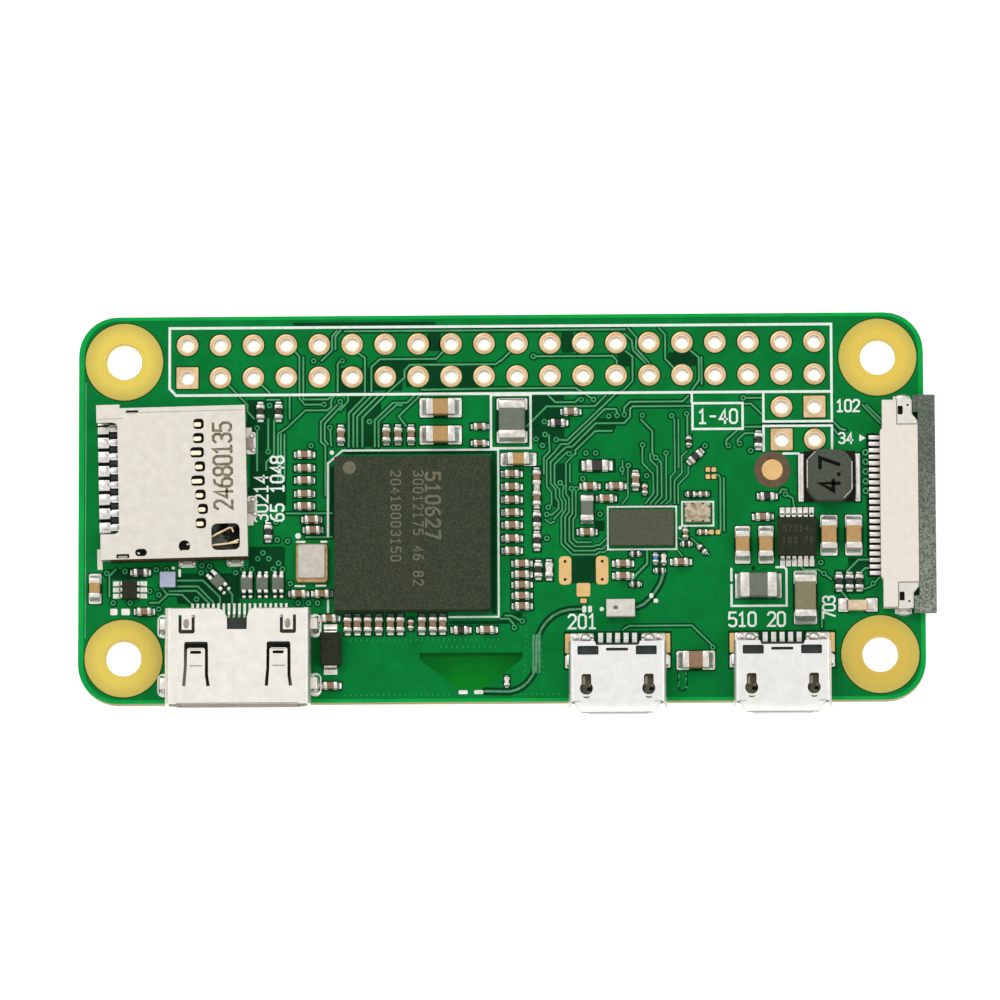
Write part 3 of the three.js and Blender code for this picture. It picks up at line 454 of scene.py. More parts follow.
def lathe(profile, cx, cy, n=32):
    """A closed (r, z) profile turned round a vertical axis."""
    verts, faces = [], []
    m = len(profile)
    for i in range(n):
        a = 2 * math.pi * i / n
        for r, z in profile:
            verts.append((cx + r * math.cos(a), cy + r * math.sin(a), z))
    for i in range(n):
        for k in range(m):
            a, b = i * m + k, i * m + (k + 1) % m
            c, d = ((i + 1) % n) * m + (k + 1) % m, ((i + 1) % n) * m + k
            faces.append((a, d, c, b))
    return verts, faces


def dome(cx, cy, rx, ry, z0, h, n=20, rings=5):
    """A low rounded mound with a flat underside, such as solder or a dot of ink."""
    verts, faces = [], []
    for k in range(rings):
        t = k / rings
        s = math.cos(t * math.pi / 2)
        for i in range(n):
            a = 2 * math.pi * i / n
            verts.append((cx + rx * s * math.cos(a), cy + ry * s * math.sin(a), z0 + h * math.sin(t * math.pi / 2)))
    verts.append((cx, cy, z0 + h))
    top = len(verts) - 1
    faces.append(tuple(range(n))[::-1])
    for k in range(rings - 1):
        for i in range(n):
            j = (i + 1) % n
            faces.append((k * n + i, k * n + j, (k + 1) * n + j, (k + 1) * n + i))
    for i in range(n):
        faces.append(((rings - 1) * n + i, (rings - 1) * n + (i + 1) % n, top))
    return verts, faces


def fillet(x_face, sign, w, reach, h, z0, base=0.05):
    """Solder that wets the end of a terminal: steep at the part, flat toward the pad's end."""
    verts, faces = [], []
    stations = [(0.0, 1.0), (0.1, 0.74), (0.24, 0.48), (0.45, 0.24), (0.7, 0.1), (1.0, 0.045)]
    for s, k in stations:
        x = x_face + sign * reach * s
        half = w / 2 * (1 + 0.1 * s)
        z = z0 + h * k
        verts += [(x, -half - base * k, z0), (x, -half + 0.05, z), (x, -half * 0.5, z + 0.02 * k), (x, half * 0.5, z + 0.02 * k),
                  (x, half - 0.05, z), (x, half + base * k, z0)]
    m = 6
    for i in range(len(stations) - 1):
        for k in range(m):
            a, b = i * m + k, i * m + (k + 1) % m
            faces.append((a, b, b + m, a + m) if sign < 0 else (a, a + m, b + m, b))
    e = (len(stations) - 1) * m
    first, last = tuple(range(m)), tuple(range(e, e + m))
    faces.append(first[::-1] if sign < 0 else first)
    faces.append(last if sign < 0 else last[::-1])
    return verts, faces


GLYPHS = {
    "0": [[(.15, 0), (.45, 0), (.6, .15), (.6, .85), (.45, 1), (.15, 1), (0, .85), (0, .15), (.15, 0)]],
    "1": [[(.08, .8), (.3, 1), (.3, 0)], [(.08, 0), (.52, 0)]],
    "2": [[(0, .82), (.15, 1), (.45, 1), (.6, .85), (.6, .62), (0, 0), (.6, 0)]],
    "3": [[(0, .88), (.15, 1), (.45, 1), (.6, .86), (.6, .65), (.42, .52), (.6, .38), (.6, .14), (.45, 0), (.15, 0), (0, .12)], [(.25, .52), (.42, .52)]],
    "4": [[(.45, 0), (.45, 1), (0, .3), (.62, .3)]],
    "5": [[(.56, 1), (.04, 1), (0, .56), (.4, .6), (.6, .44), (.6, .15), (.44, 0), (.14, 0), (0, .1)]],
    "6": [[(.5, 1), (.24, .94), (0, .6), (0, .15), (.15, 0), (.45, 0), (.6, .15), (.6, .4), (.45, .55), (.12, .55)]],
    "7": [[(0, 1), (.6, 1), (.2, 0)]],
    "8": [[(.15, .52), (.02, .65), (.02, .87), (.15, 1), (.45, 1), (.58, .87), (.58, .65), (.45, .52), (.15, .52)],
          [(.15, .52), (0, .38), (0, .14), (.15, 0), (.45, 0), (.6, .14), (.6, .38), (.45, .52)]],
    "9": [[(.1, 0), (.36, .06), (.6, .4), (.6, .85), (.45, 1), (.15, 1), (0, .85), (0, .6), (.15, .45), (.5, .45)]],
    "-": [[(.1, .5), (.5, .5)]],
    ".": [[(.28, 0), (.32, .02)]],
}


STROKE = [0]


def digits(piece, text, x, y, h, w, z0, z1, deg=0.0, pitch=0.86, squeeze=1.0, narrow=0.86):
    """Plain stroked numerals. (x, y) is the lower left of the first one before turning by deg."""
    at = place(x, y, 0, deg)
    for i, c in enumerate(text):
        for line in GLYPHS.get(c, ()):
            pts = [((px * narrow + i * pitch) * h * squeeze, py * h) for px, py in line]
            STROKE[0] = (STROKE[0] + 1) % 12
            piece.add(strip(pts, w, z0, z1 + STROKE[0] * 0.002), at)


# ------------------------------------------------------------------ stage, camera and light

floor_mat = bpy.data.materials.new("floor_pale")
floor_mat.use_nodes = True
fb = floor_mat.node_tree.nodes["Principled BSDF"]
fb.inputs["Base Color"].default_value = (0.86, 0.86, 0.86, 1)
fb.inputs["Roughness"].default_value = 0.9
fb.inputs["Emission Color"].default_value = (1, 1, 1, 1)
fb.inputs["Emission Strength"].default_value = 0.62
bpy.ops.mesh.primitive_plane_add(size=3.0, location=(0, 0, -0.00035))
floor = bpy.context.object
floor.name = "floor"
floor.data.materials.append(floor_mat)

A, B, C = (math.radians(d) for d in (7.86983, 1.30624, -0.18923))
R = Matrix.Rotation(C, 3, "Z") @ Matrix.Rotation(B, 3, "Y") @ Matrix.Rotation(A, 3, "X")
eye = Vector((-0.0926, 0.6935, 0.7)) * MM + R @ Vector((0, 0, 621.63 * MM))
cam_data = bpy.data.cameras.new("camera")
cam_data.sensor_width = 36.0
cam_data.lens = 8082.57 / 1000 * 36.0
cam_data.clip_start = 0.01
cam_data.clip_end = 10.0
cam = bpy.data.objects.new("camera", cam_data)
cam.matrix_world = Matrix.Translation(eye) @ R.to_4x4()
bpy.context.scene.collection.objects.link(cam)
bpy.context.scene.camera = cam


def softbox(name, at, aim, size, power, colour=(1, 1, 1)):
    d = bpy.data.lights.new(name, "AREA")
    d.shape = "RECTANGLE"
    d.size, d.size_y = size
    d.energy = power
    d.color = colour
    o = bpy.data.objects.new(name, d)
    o.location = at
    o.rotation_euler = (Vector(aim) - Vector(at)).to_track_quat("-Z", "Y").to_euler()
    bpy.context.scene.collection.objects.link(o)


softbox("key_softbox", (-0.35, 0.55, 0.75), (0, 0, 0), (0.5, 0.5), 2.6)
softbox("fill_softbox", (0.6, -0.1, 0.7), (0, 0, 0), (0.5, 0.4), 0.8)

world = bpy.data.worlds.new("studio")
bpy.context.scene.world = world
world.use_nodes = True
wn = world.node_tree
bg = wn.nodes["Background"]
tc = wn.nodes.new("ShaderNodeTexCoord")
sx = wn.nodes.new("ShaderNodeSeparateXYZ")
wn.links.new(tc.outputs["Generated"], sx.inputs["Vector"])
ramp = wn.nodes.new("ShaderNodeValToRGB")
ramp.color_ramp.elements[0].position = 0.0
ramp.color_ramp.elements[0].color = (0.06, 0.06, 0.06, 1)
ramp.color_ramp.elements[1].position = 1.0
ramp.color_ramp.elements[1].color = (0.9, 0.9, 0.89, 1)
for at, level in ((0.18, 0.22), (0.42, 0.75), (0.6, 0.98), (0.82, 0.78)):
    e = ramp.color_ramp.elements.new(at)
    e.color = (level, level, level, 1)
wn.links.new(sx.outputs["Z"], ramp.inputs["Fac"])
wn.links.new(ramp.outputs["Color"], bg.inputs["Color"])
bg.inputs["Strength"].default_value = 1.0
bpy.context.scene.view_settings.view_transform = "Standard"
bpy.context.scene.view_settings.look = "None"

# ------------------------------------------------------------------ CAD nodes: materials and softened edges


def finish_node(names, mat, width=0.0, angle=30, seg=2):
    for n in names.split():
        o = NODES[n]
        o.data.materials.clear()
        o.data.materials.append(mat.m)
        if width:
            w = o.modifiers.new("weld", "WELD")
            w.merge_threshold = 1e-7
            d = o.modifiers.new("merge_flat", "DECIMATE")
            d.decimate_type = "DISSOLVE"
            d.angle_limit = math.radians(1)
            b = o.modifiers.new("soften", "BEVEL")
            b.width = width * MM
            b.segments = seg
            b.limit_method = "ANGLE"
            b.angle_limit = math.radians(angle)


finish_node("circuit_board", BOARD)
finish_node("processor_package memory_package", PKG, 0.03)
finish_node("power_regulator_chip level_shifter_chip", PKG_DARK, 0.03)
finish_node("wireless_chip", PKG_GREY, 0.03)
finish_node("load_switch_chip", DIE, 0.015)
finish_node("antenna_filter", WHITE, 0.04)
finish_node("main_crystal_base", CRYSTAL_RIM, 0.04)
finish_node("main_crystal_lid", CRYSTAL_LID, 0.05)
finish_node("wireless_crystal", CRYSTAL_TOP, 0.05)
finish_node("power_inductor_base", BASE_BLACK, 0.04)
finish_node("power_inductor_core", FERRITE, 0.22, seg=3)
finish_node("power_inductor_terminal_left power_inductor_terminal_right", SOLDER, 0.06)
finish_node("core_supply_inductor input_filter_inductor radio_choke", CHOKE, 0.06)
finish_node("bulk_capacitor_1 bulk_capacitor_2 core_capacitor regulator_capacitor_1 regulator_capacitor_2 "
            "regulator_capacitor_3 regulator_capacitor_4 card_capacitor", TAN, 0.05)
finish_node("input_capacitor", OLIVE, 0.05)
finish_node("socket_capacitor", BROWN, 0.05)
finish_node("protection_diode", PKG_DARK, 0.05)
finish_node("activity_led", LED, 0.05)
finish_node("filter_array_1 filter_array_2 filter_array_3", CHOKE, 0.03)
finish_node("card_socket_cover", TIN_CARD, 0.035)
finish_node("video_socket_shell", TIN, 0.05)
finish_node("usb_data_shell usb_power_shell", TIN, 0.05)
finish_node("card_socket_base video_socket_insulator usb_data_insulator usb_power_insulator", DARK, 0.03)
finish_node("card_detect_blade card_detect_contact", CONTACT, 0.02)
finish_node(" ".join(f"card_contact_{i}" for i in range(1, 9)), CARD_CONTACT, 0.02)
finish_node("video_socket_contacts usb_data_contacts usb_power_contacts camera_connector_contacts", SOLDER, 0.02)
finish_node("camera_connector_housing", CREAM, 0.04)
finish_node("camera_hold_down_upper camera_hold_down_lower", TIN, 0.03)
finish_node("camera_slider", SLIDER, 0.08, seg=3)

# ------------------------------------------------------------------ board surface pieces

pour = Piece("copper_pour_top", MASK, "solder_mask", smooth=0)
pour_under = Piece("copper_pour_underside", MASK, "solder_mask", smooth=0)
bare = Piece("mask_gaps", MASK_BARE, "solder_mask", smooth=0)
trace = Piece("traces_top", MASK_TRACE_SHEEN, "solder_mask", smooth=20)
via = Piece("via_rings", MASK_VIA, "solder_mask", smooth=30)
# Dark discs at the via centres stand for the shade in the holes (painted shadow).
via_dot = Piece("via_centre_shadows", DARK_DOT, "solder_mask", smooth=0)
recess = Piece("antenna_window", MASK_RECESS, "solder_mask", smooth=0)
silk = Piece("printing_top", SILK, "ceramic_white", smooth=0)
pads = Piece("gold_pads", GOLD, "gold_plate", smooth=30)
pins = Piece("header_pads", GOLD_PIN, "gold_plate", smooth=40)
rings = Piece("mounting_rings", RING, "gold_plate", smooth=40)
tinned = Piece("tinned_pads", SOLDER, "solder", smooth=40)

Z_POUR, Z_BARE, Z_TRACE, Z_VIA, Z_PAD, Z_SILK = TOP + 0.012, TOP + 0.015, TOP + 0.036, TOP + 0.05, TOP + 0.052, TOP + 0.056
MOUNTS = [(-29, 11.5), (29, 11.5), (-29, -11.5), (29, -11.5)]
HEADER = [((i - 9.5) * 2.54, y) for i in range(20) for y in (12.77, 10.23)]
EXTRA_PINS = [(24.13, 7.69), (21.59, 7.69), (24.13, 5.15), (21.59, 5.15)]
SQUARE_PINS = {(-24.13, 10.23), (24.13, 7.69), (21.59, 5.15)}
LEGS = [(-20.1 + s * 5.95, y) for s in (-1, 1) for y in (-9.05, -13.6)]


def is_square(x, y):
    return any(abs(x - a) < 0.05 and abs(y - b) < 0.05 for a, b in SQUARE_PINS)


pour_holes = [ring(x, y, 1.5, 32) for x, y in MOUNTS] + [ring(x, y, 0.6, 16) for x, y in HEADER + EXTRA_PINS]
pour_holes += [rrect(x - 0.35, y - 0.85, x + 0.35, y + 0.85, 0.34, 3) for x, y in LEGS]
pour.add(prism(rrect(-32.08, -14.72, 32.12, 14.72, 2.65, 8), TOP, Z_POUR, pour_holes))
pour_under.add(prism(rrect(-32.1, -14.6, 32.1, 14.6, 2.6, 8), -0.012, 0.0, pour_holes))

barrels = Piece("header_barrels", PIN_WALL, "gold_plate", smooth=50)
ring_walls = Piece("mounting_ring_walls", RING_WALL, "gold_plate", smooth=50)
for x, y in HEADER + EXTRA_PINS:
    if is_square(x, y):
        bare.add(prism(rrect(x - 0.94, y - 0.94, x + 0.94, y + 0.94, 0.1, 2), TOP, Z_BARE + 0.004, [ring(x, y, 0.56, 16)]))
        pins.add(prism(rrect(x - 0.84, y - 0.84, x + 0.84, y + 0.84, 0.06, 2), TOP, Z_PAD, [ring(x, y, 0.565, 36)]))
        pins.add(prism(rrect(x - 0.84, y - 0.84, x + 0.84, y + 0.84, 0.06, 2), -0.03, 0.0, [ring(x, y, 0.56, 36)]))
    else:
        bare.add(prism(ring(x, y, 0.93, 36), TOP, Z_BARE + 0.004, [ring(x, y, 0.56, 16)]))
        pins.add(lathe([(0.56, TOP), (0.83, TOP), (0.83, TOP + 0.024), (0.79, Z_PAD), (0.6, Z_PAD), (0.565, Z_PAD - 0.006)], x, y, 40))
        pins.add(lathe([(0.56, 0.0), (0.56, -0.03), (0.8, -0.03), (0.84, -0.012), (0.84, 0.0)], x, y, 40))
    barrels.add(lathe([(0.478, 0.0), (0.5, -0.028), (0.56, -0.03), (0.56, 0.0), (0.518, 0.004), (0.518, TOP), (0.562, TOP + 0.002), (0.562, Z_PAD - 0.004), (0.555, Z_PAD - 0.004),
                       (0.478, TOP + 0.003)], x, y, 40))
for x, y in MOUNTS:
    bare.add(prism(ring(x, y, 3.08, 64), TOP, Z_BARE + 0.004, [ring(x, y, 1.5, 32)]))
    rings.add(lathe([(1.43, -0.03), (2.9, -0.03), (2.95, 0.0), (1.43, 0.0)], x, y, 96))
    rings.add(lathe([(1.43, TOP), (3.0, TOP), (3.0, TOP + 0.02), (2.97, Z_PAD - 0.004), (1.45, Z_PAD - 0.004), (1.43, Z_PAD - 0.008)], x, y, 96))
    ring_walls.add(lathe([(1.352, -0.01), (1.37, -0.03), (1.43, -0.03), (1.43, -0.001), (1.385, 0.0), (1.385, TOP), (1.43, TOP + 0.002), (1.43, Z_PAD - 0.006), (1.4, Z_PAD - 0.008),
                          (1.352, TOP - 0.02)], x, y, 96))
for x, y in LEGS:
    tinned.add(prism(rrect(x - 0.6, y - 0.9, x + 0.34, y + 0.9, 0.45, 6) if x > -20 else rrect(x - 0.34, y - 0.9, x + 0.6, y + 0.9, 0.45, 6), TOP, Z_PAD, [rrect(x - 0.24, y - 0.74, x + 0.24, y + 0.74, 0.22, 4)]))
    tinned.add(prism(rrect(x - 0.6, y - 0.9, x + 0.34, y + 0.9, 0.45, 6) if x > -20 else rrect(x - 0.34, y - 0.9, x + 0.6, y + 0.9, 0.45, 6), -0.03, 0.0, [rrect(x - 0.24, y - 0.74, x + 0.24, y + 0.74, 0.22, 4)]))


# ------------------------------------------------------------------ mask gaps, traces and vias

layer = {"bare": 0, "trace": 5, "slab": 2}
LEVELS = {"bare": (61, 0.0002, 0.0082), "trace": (61, 0.00024, 0.0), "slab": (37, 0.0002, 0.0)}


def lift(kind="bare"):
    count, step, base = LEVELS[kind]
    layer[kind] = (layer[kind] + 3) % count
    return layer[kind] * step + base


def dark(x0, y0, x1, y1, r=0.12):
    x0, x1 = sorted((x0, x1))
    y0, y1 = sorted((y0, y1))
    holes = [ring(x, y, 0.57, 16) for x, y in HEADER + EXTRA_PINS if x0 < x - 0.58 and x + 0.58 < x1 and y0 < y - 0.58 and y + 0.58 < y1]
    bare.add(prism(rrect(x0, y0, x1, y1, r, 2), TOP, Z_BARE + lift("slab"), holes))


def dark_poly(*pts):
    bare.add(prism(list(pts), TOP, Z_BARE + lift("slab")))


def run(*pts, w=0.13, gap=0.13):
    if gap:
        bare.add(strip(pts, w + 2 * gap, TOP, Z_BARE + lift()))
    trace.add(strip(pts, w, TOP, Z_TRACE + lift("trace"), slope=0.012))


def hole(x, y, r=0.215, halo=0.12):
    if halo:
        bare.add(prism(ring(x, y, r + halo, 16), TOP, Z_BARE + lift()))
    via.add(lathe([(r * 0.45, TOP), (r, TOP), (r, Z_VIA), (r * 0.9, Z_VIA + 0.008), (r * 0.55, Z_VIA + 0.008), (r * 0.45, Z_VIA)], x, y, 16))
    via_dot.add(prism(ring(x, y, r * 0.5, 10), TOP, Z_VIA + 0.003))


for box in ((-19.3, 0.2, -16.5, 5.7), (-19.5, 5.6, -17.3, 8.5), (-19.4, -2.9, -16.6, -4.8), (-12.4, 9.05, -10.1, 10.95), (-10.0, 10.9, -4.9, 11.4),
            (-5.6, 12.2, -4.6, 13.7), (-11.9, 4.8, -9.2, 8.7), (-16, 14.25, -5, 14.5), (-12, 13.65, 9.7, 13.92), (2.4, 5.1, 4.9, 8.7),
            (4.7, 12.0, 5.6, 13.7), (9.0, 10.9, 10.0, 12.0), (12.9, 10.9, 15.1, 12.0), (9.9, 7.7, 14.2, 8.25), (7.2, 6.6, 9.9, 6.9),
            (7.3, 6.05, 8.9, 6.35), (13.45, 3.3, 13.6, 6.9), (-24.9, -4.95, -20.1, -7.3), (-4.0, -8.75, 1.2, -9.0),
            (4.22, 1.95, 4.95, 3.4), (7.2, -1.86, 7.94, -1.05), (-9.95, 9.15, -7.55, 11.3), (-7.3, 9.4, -0.55, 11.15), (14.3, 0.55, 15.9, 0.85), (4.0, 0.0, 5.6, 1.2), (-30.4, -4.6, -27.2, -5.4), (-16.6, -0.2, -12.8, -0.5),
            (-15.2, -2.05, -12.8, -2.35), (16.7, -1.95, 17.25, 2.3), (-0.75, -8.2, -0.36, 4.2), (-13.15, -2.0, -12.72, 3.3), (-12.1, 4.2, -0.4, 4.42), (0.1, -8.1, 1.6, -8.95), (20.0, 6.3, 25.4, 6.48), (-19.7, 4.4, -18.9, 6.8), (-19.7, -0.6, -18.9, 1.7), (19.2, -4.6, 19.5, -5.0), (26.6, -4.0, 28.4, -5.0)):
    dark(*box)

ROUTES = (
    ((-20.95, 9.65), (-19.5, 8.1), (-19.5, 7.6), (-19.0, 7.05)), ((-18.4, 9.65), (-17.75, 9.0)), ((-18.0, 8.5), (-17.0, 8.5)),
    ((-18.75, 6.3), (-18.75, 3.0)), ((-17.9, 7.0), (-17.9, 4.5)), ((-17.45, 6.9), (-17.45, 4.3), (-18.05, 3.65), (-18.05, 3.05)),
    ((-17.15, 5.8), (-17.15, 2.0)), ((-16.93, 5.8), (-16.93, 2.2)), ((-16.65, 5.8), (-16.65, 2.4)),
    ((-15.85, 12.25), (-15.5, 11.85), (-15.5, 8.6), (-15.1, 8.1), (-13.6, 8.1)), ((-15.2, 11.8), (-15.2, 8.5), (-13.3, 8.5), (-12.9, 8.85)),
    ((-16.25, 8.8), (-16.25, 7.0)), ((-17.15, 5.85), (-16.45, 6.3), (-15.05, 7.65), (-13.35, 7.65), (-13.05, 7.9), (-13.05, 8.4), (-12.8, 8.8)),
    ((-12.6, 13.85), (-12.98, 13.4), (-12.98, 12.3), (-13.8, 11.5)), ((-12.3, 13.9), (-12.72, 13.4), (-12.72, 12.4)),
    ((-12.45, 11.4), (-12.55, 11.2), (-12.55, 9.1)), ((-11.0, 12.1), (-10.45, 11.7), (-10.45, 9.0)),
    ((-4.4, 12.2), (-4.95, 11.6), (-9.3, 11.6), (-9.95, 11.0), (-9.95, 9.1)), ((-10.35, 8.8), (-11.7, 7.4), (-11.7, 4.8)),
    ((-9.9, 8.8), (-11.35, 7.3), (-11.35, 4.8)), ((-9.4, 8.8), (-11.05, 7.15), (-11.05, 4.8)),
    ((0, 11.45), (-0.35, 11.15), (-7.0, 11.15), (-7.4, 10.7), (-7.4, 10.15), (-8.9, 8.8), (-10.65, 7.05), (-10.65, 4.8)),
    ((-6.55, 8.85), (-7.2, 8.2), (-8.3, 8.2), (-9.7, 6.85), (-9.7, 4.8)), ((-7.6, 8.0), (-8.0, 8.05), (-9.4, 6.75), (-9.4, 4.8)),
    ((-6.15, 8.8), (-7.85, 7.15), (-7.3, 6.4)), ((-6.1, 9.2), (0, 9.26), (5.8, 9.26), (6.1, 9.0)),
    ((-12.6, 8.05), (-13.85, 6.75), (-13.85, 5.2), (-13.5, 4.9), (-13.5, 1.0)), ((-12.2, 8.05), (-13.55, 6.6), (-13.55, 5.35), (-13.3, 5.0)),
    ((-13.15, 6.35), (-13.05, 4.9)), ((-11.75, 8.85), (-11.75, 8.35), (-12.35, 7.65)),
    ((-12, 13.8), (9.6, 13.8)), ((0.74, 12.1), (0, 11.37)), ((2.53, 11.74), (8.63, 11.74), (8.95, 11.37), (8.95, 11.05)),
    ((9.84, 13.9), (10.47, 13.16), (10.42, 12.3), (11.42, 11.2)), ((9.53, 13.47), (10.1, 12.95), (10.2, 12.16), (11.16, 11.16)),
    ((12.2, 13.9), (12.68, 13.37), (12.68, 11.47), (13.37, 10.74)),
    ((9.63, 12.1), (10.16, 11.68), (10.16, 9.79), (9.5, 9.1), (8.8, 8.74), (5.1, 5.2), (4.25, 5.25)),
    ((14.63, 12.1), (15.26, 11.58), (15.26, 9.79), (14.74, 9.05)), ((15.47, 11.6), (15.47, 9.5)),
    ((3.63, 8.74), (4.2, 8.16), (5.74, 8.16), (6.05, 8.47)), ((6.05, 9.1), (7.15, 8.35)), ((2.0, 6.3), (3.53, 7.84), (7.26, 7.84), (8.1, 8.68)),
    ((9.0, 7.2), (8.85, 7.6), (8.0, 7.6), (5.2, 4.9), (4.6, 4.9), (4.1, 4.25)), ((14.42, 8.58), (14.0, 8.16), (9.95, 8.16), (9.5, 7.7), (9.5, 7.3)),
    ((14.6, 7.8), (10.15, 7.8), (9.95, 7.6), (9.95, 7.0), (9.5, 6.5), (7.3, 6.5), (5.5, 4.7), (5.0, 4.65), (4.6, 4.3)),
    ((8.55, 5.9), (7.26, 5.9), (5.74, 4.42), (5.74, 4.1)), ((3.7, 5.6), (3.75, 4.35), (3.3, 3.85), (3.3, 2.6)),
    ((10.8, 6.75), (11.65, 5.85), (11.65, 4.1)), ((10.9, 4.7), (10.87, 4.1)),
    ((14.35, 6.95), (14.35, 5.6)), 
    ((-24.9, -5.5), (-22.9, -5.5), (-21.6, -6.8), (-21.6, -7.3)), ((-24.9, -5.95), (-23.3, -5.95), (-22.1, -7.2)), ((-25.5, -6.3), (-23.4, -6.3), (-22.4, -7.3)),
    ((-26.2, -5.9), (-25.65, -6.55), (-24.5, -6.6), (-23.8, -7.3)), ((-25.65, -6.6), (-26.3, -7.2), (-27.0, -7.2)), ((-29.6, -4.6), (-30.1, -5.1), (-30.1, -6.7)),
    ((-21.0, -6.2), (-20.65, -6.6), (-20.65, -7.3)), ((-16.5, -0.35), (-13.0, -0.35)), ((-15.0, -2.2), (-13.0, -2.2)),
    ((18.9, 8.4), (20.1, 8.4)), ((18.7, 7.95), (19.25, 7.95), (20.1, 7.1)), ((18.7, 6.15), (20.2, 6.15)), ((18.2, 5.9), (17.35, 5.15), (17.3, 4.85), (17.5, 4.65)), ((19.5, 5.65), (18.75, 5.65), (18.2, 5.15), (18.2, 4.9)), ((25.5, 6.6), (26.1, 5.95), (26.5, 5.85)), ((25.3, 6.3), (25.9, 5.55)),
    ((27.8, 7.8), (29.15, 6.4)), ((28.1, 7.8), (29.3, 6.6)), ((16.5, 2.46), (16.72, 2.42), (16.85, 2.2), (16.85, -1.9)), ((17.12, 2.2), (17.12, -1.9)),
    ((28.3, -4.2), (27.4, -4.2), (26.5, -5.1)), ((28.3, -4.85), (27.9, -4.85), (27.45, -5.3)), ((22.9, -4.6), (23.2, -4.95), (24.3, -4.95), (25.3, -5.7)), ((29.0, -5.6), (28.3, -6.3), (27.7, -6.5)), ((26.1, -6.7), (26.45, -7.1)), ((24.55, -7.9), (24.55, -9.4)), ((21.85, 0.9), (22.4, 0.6), (22.5, -0.1)), ((21.4, 1.0), (21.6, 1.3), (21.95, 1.25)), ((-0.1, -8.6), (0.6, -8.6), (1.0, -9.1)), ((0.3, -8.35), (0.75, -8.35), (1.5, -8.75)), ((9.3, -9.5), (9.8, -9.2), (14.6, -9.2), (16.1, -10.7)),
)
for pts in ROUTES:
    run(*pts)
for pts in (
    ((4.1, 4.25), (3.52, 3.66), (3.52, 1.6), (3.88, 1.15), (3.88, 0.25), (3.72, 0.05)),
    ((4.6, 4.3), (3.82, 3.52), (3.82, 1.85), (4.2, 1.4), (4.2, 0.75), (4.42, 0.45), (4.42, -0.1), (3.95, -0.55), (3.55, -0.58)),
    ((5.1, 4.3), (4.12, 3.32), (4.12, 1.8), (4.5, 1.4), (4.5, 0.8), (4.71, 0.45), (4.71, -0.2), (4.05, -0.92)),
    ((4.55, 1.9), (4.83, 1.6), (4.75, 1.3), (4.75, 0.85), (4.97, 0.5), (4.97, -0.15), (4.62, -0.75), (4.62, -2.85), (5.45, -3.68), (7.3, -3.68), (7.5, -3.5), (7.95, -3.5), (8.2, -3.25)),
    ((5.75, 4.2), (5.0, 3.45), (5.0, 1.05), (5.22, 0.7), (5.22, -0.35), (4.92, -0.75), (4.92, -2.72), (5.58, -3.37), (7.2, -3.37), (7.35, -3.25), (7.8, -3.25), (8.15, -2.9)),
    ((5.48, 1.3), (5.48, -0.5), (5.24, -0.82), (5.24, -2.6), (5.7, -3.05), (7.1, -3.05), (7.25, -2.95), (7.55, -2.95), (8.15, -2.35)),
    ((5.75, 1.3), (5.75, -0.65), (5.54, -0.95), (5.54, -2.45), (5.8, -2.72), (6.9, -2.72)),
    ((5.3, 3.35), (5.3, 1.95)), ((3.4, -0.95), (3.8, -1.25), (4.1, -1.1)),
    ((10.87, 4.1), (10.87, 3.4), (11.68, 2.55), (11.72, 1.05), (11.1, 0.25)), ((11.45, 4.1), (11.5, 3.6), (12.02, 3.1), (12.02, 0.9), (11.45, 0.2)),
    ((11.65, 4.1), (12.33, 3.4), (12.35, 0.75), (11.82, 0.2)), ((12.7, 4.1), (12.7, 0.6), (12.25, 0.2)), ((13.35, 6.8), (13.38, 2.7), (13.03, 2.3), (13.03, 0.5), (12.65, 0.2)),
    ((13.66, 6.8), (13.66, 3.0)), ((14.3, 4.3), (13.9, 3.9), (13.9, 2.6), (13.33, 2.0), (13.33, 0.25)), ((14.4, 3.1), (14.4, 2.5), (13.62, 1.7), (13.62, 0.25)),
    ((9.35, 3.6), (9.35, 2.5)), ((9.75, 3.2), (9.75, 0.8), (9.3, 0.2)), ((13.6, -2.4), (14.1, -2.75)), ((14.6, -2.45), (15.95, -3.75)), ((13.55, -3.4), (13.9, -3.85)),
):
    run(*pts, w=0.11, gap=0.1)
run((11.2, -3.4), (11.2, -4.4), (10.3, -5.3), (10.0, -5.75), w=0.16, gap=0.16)
trace.add(strip([(-31.95, 9.9), (-31.95, -9.9)], 0.09, TOP, Z_TRACE))

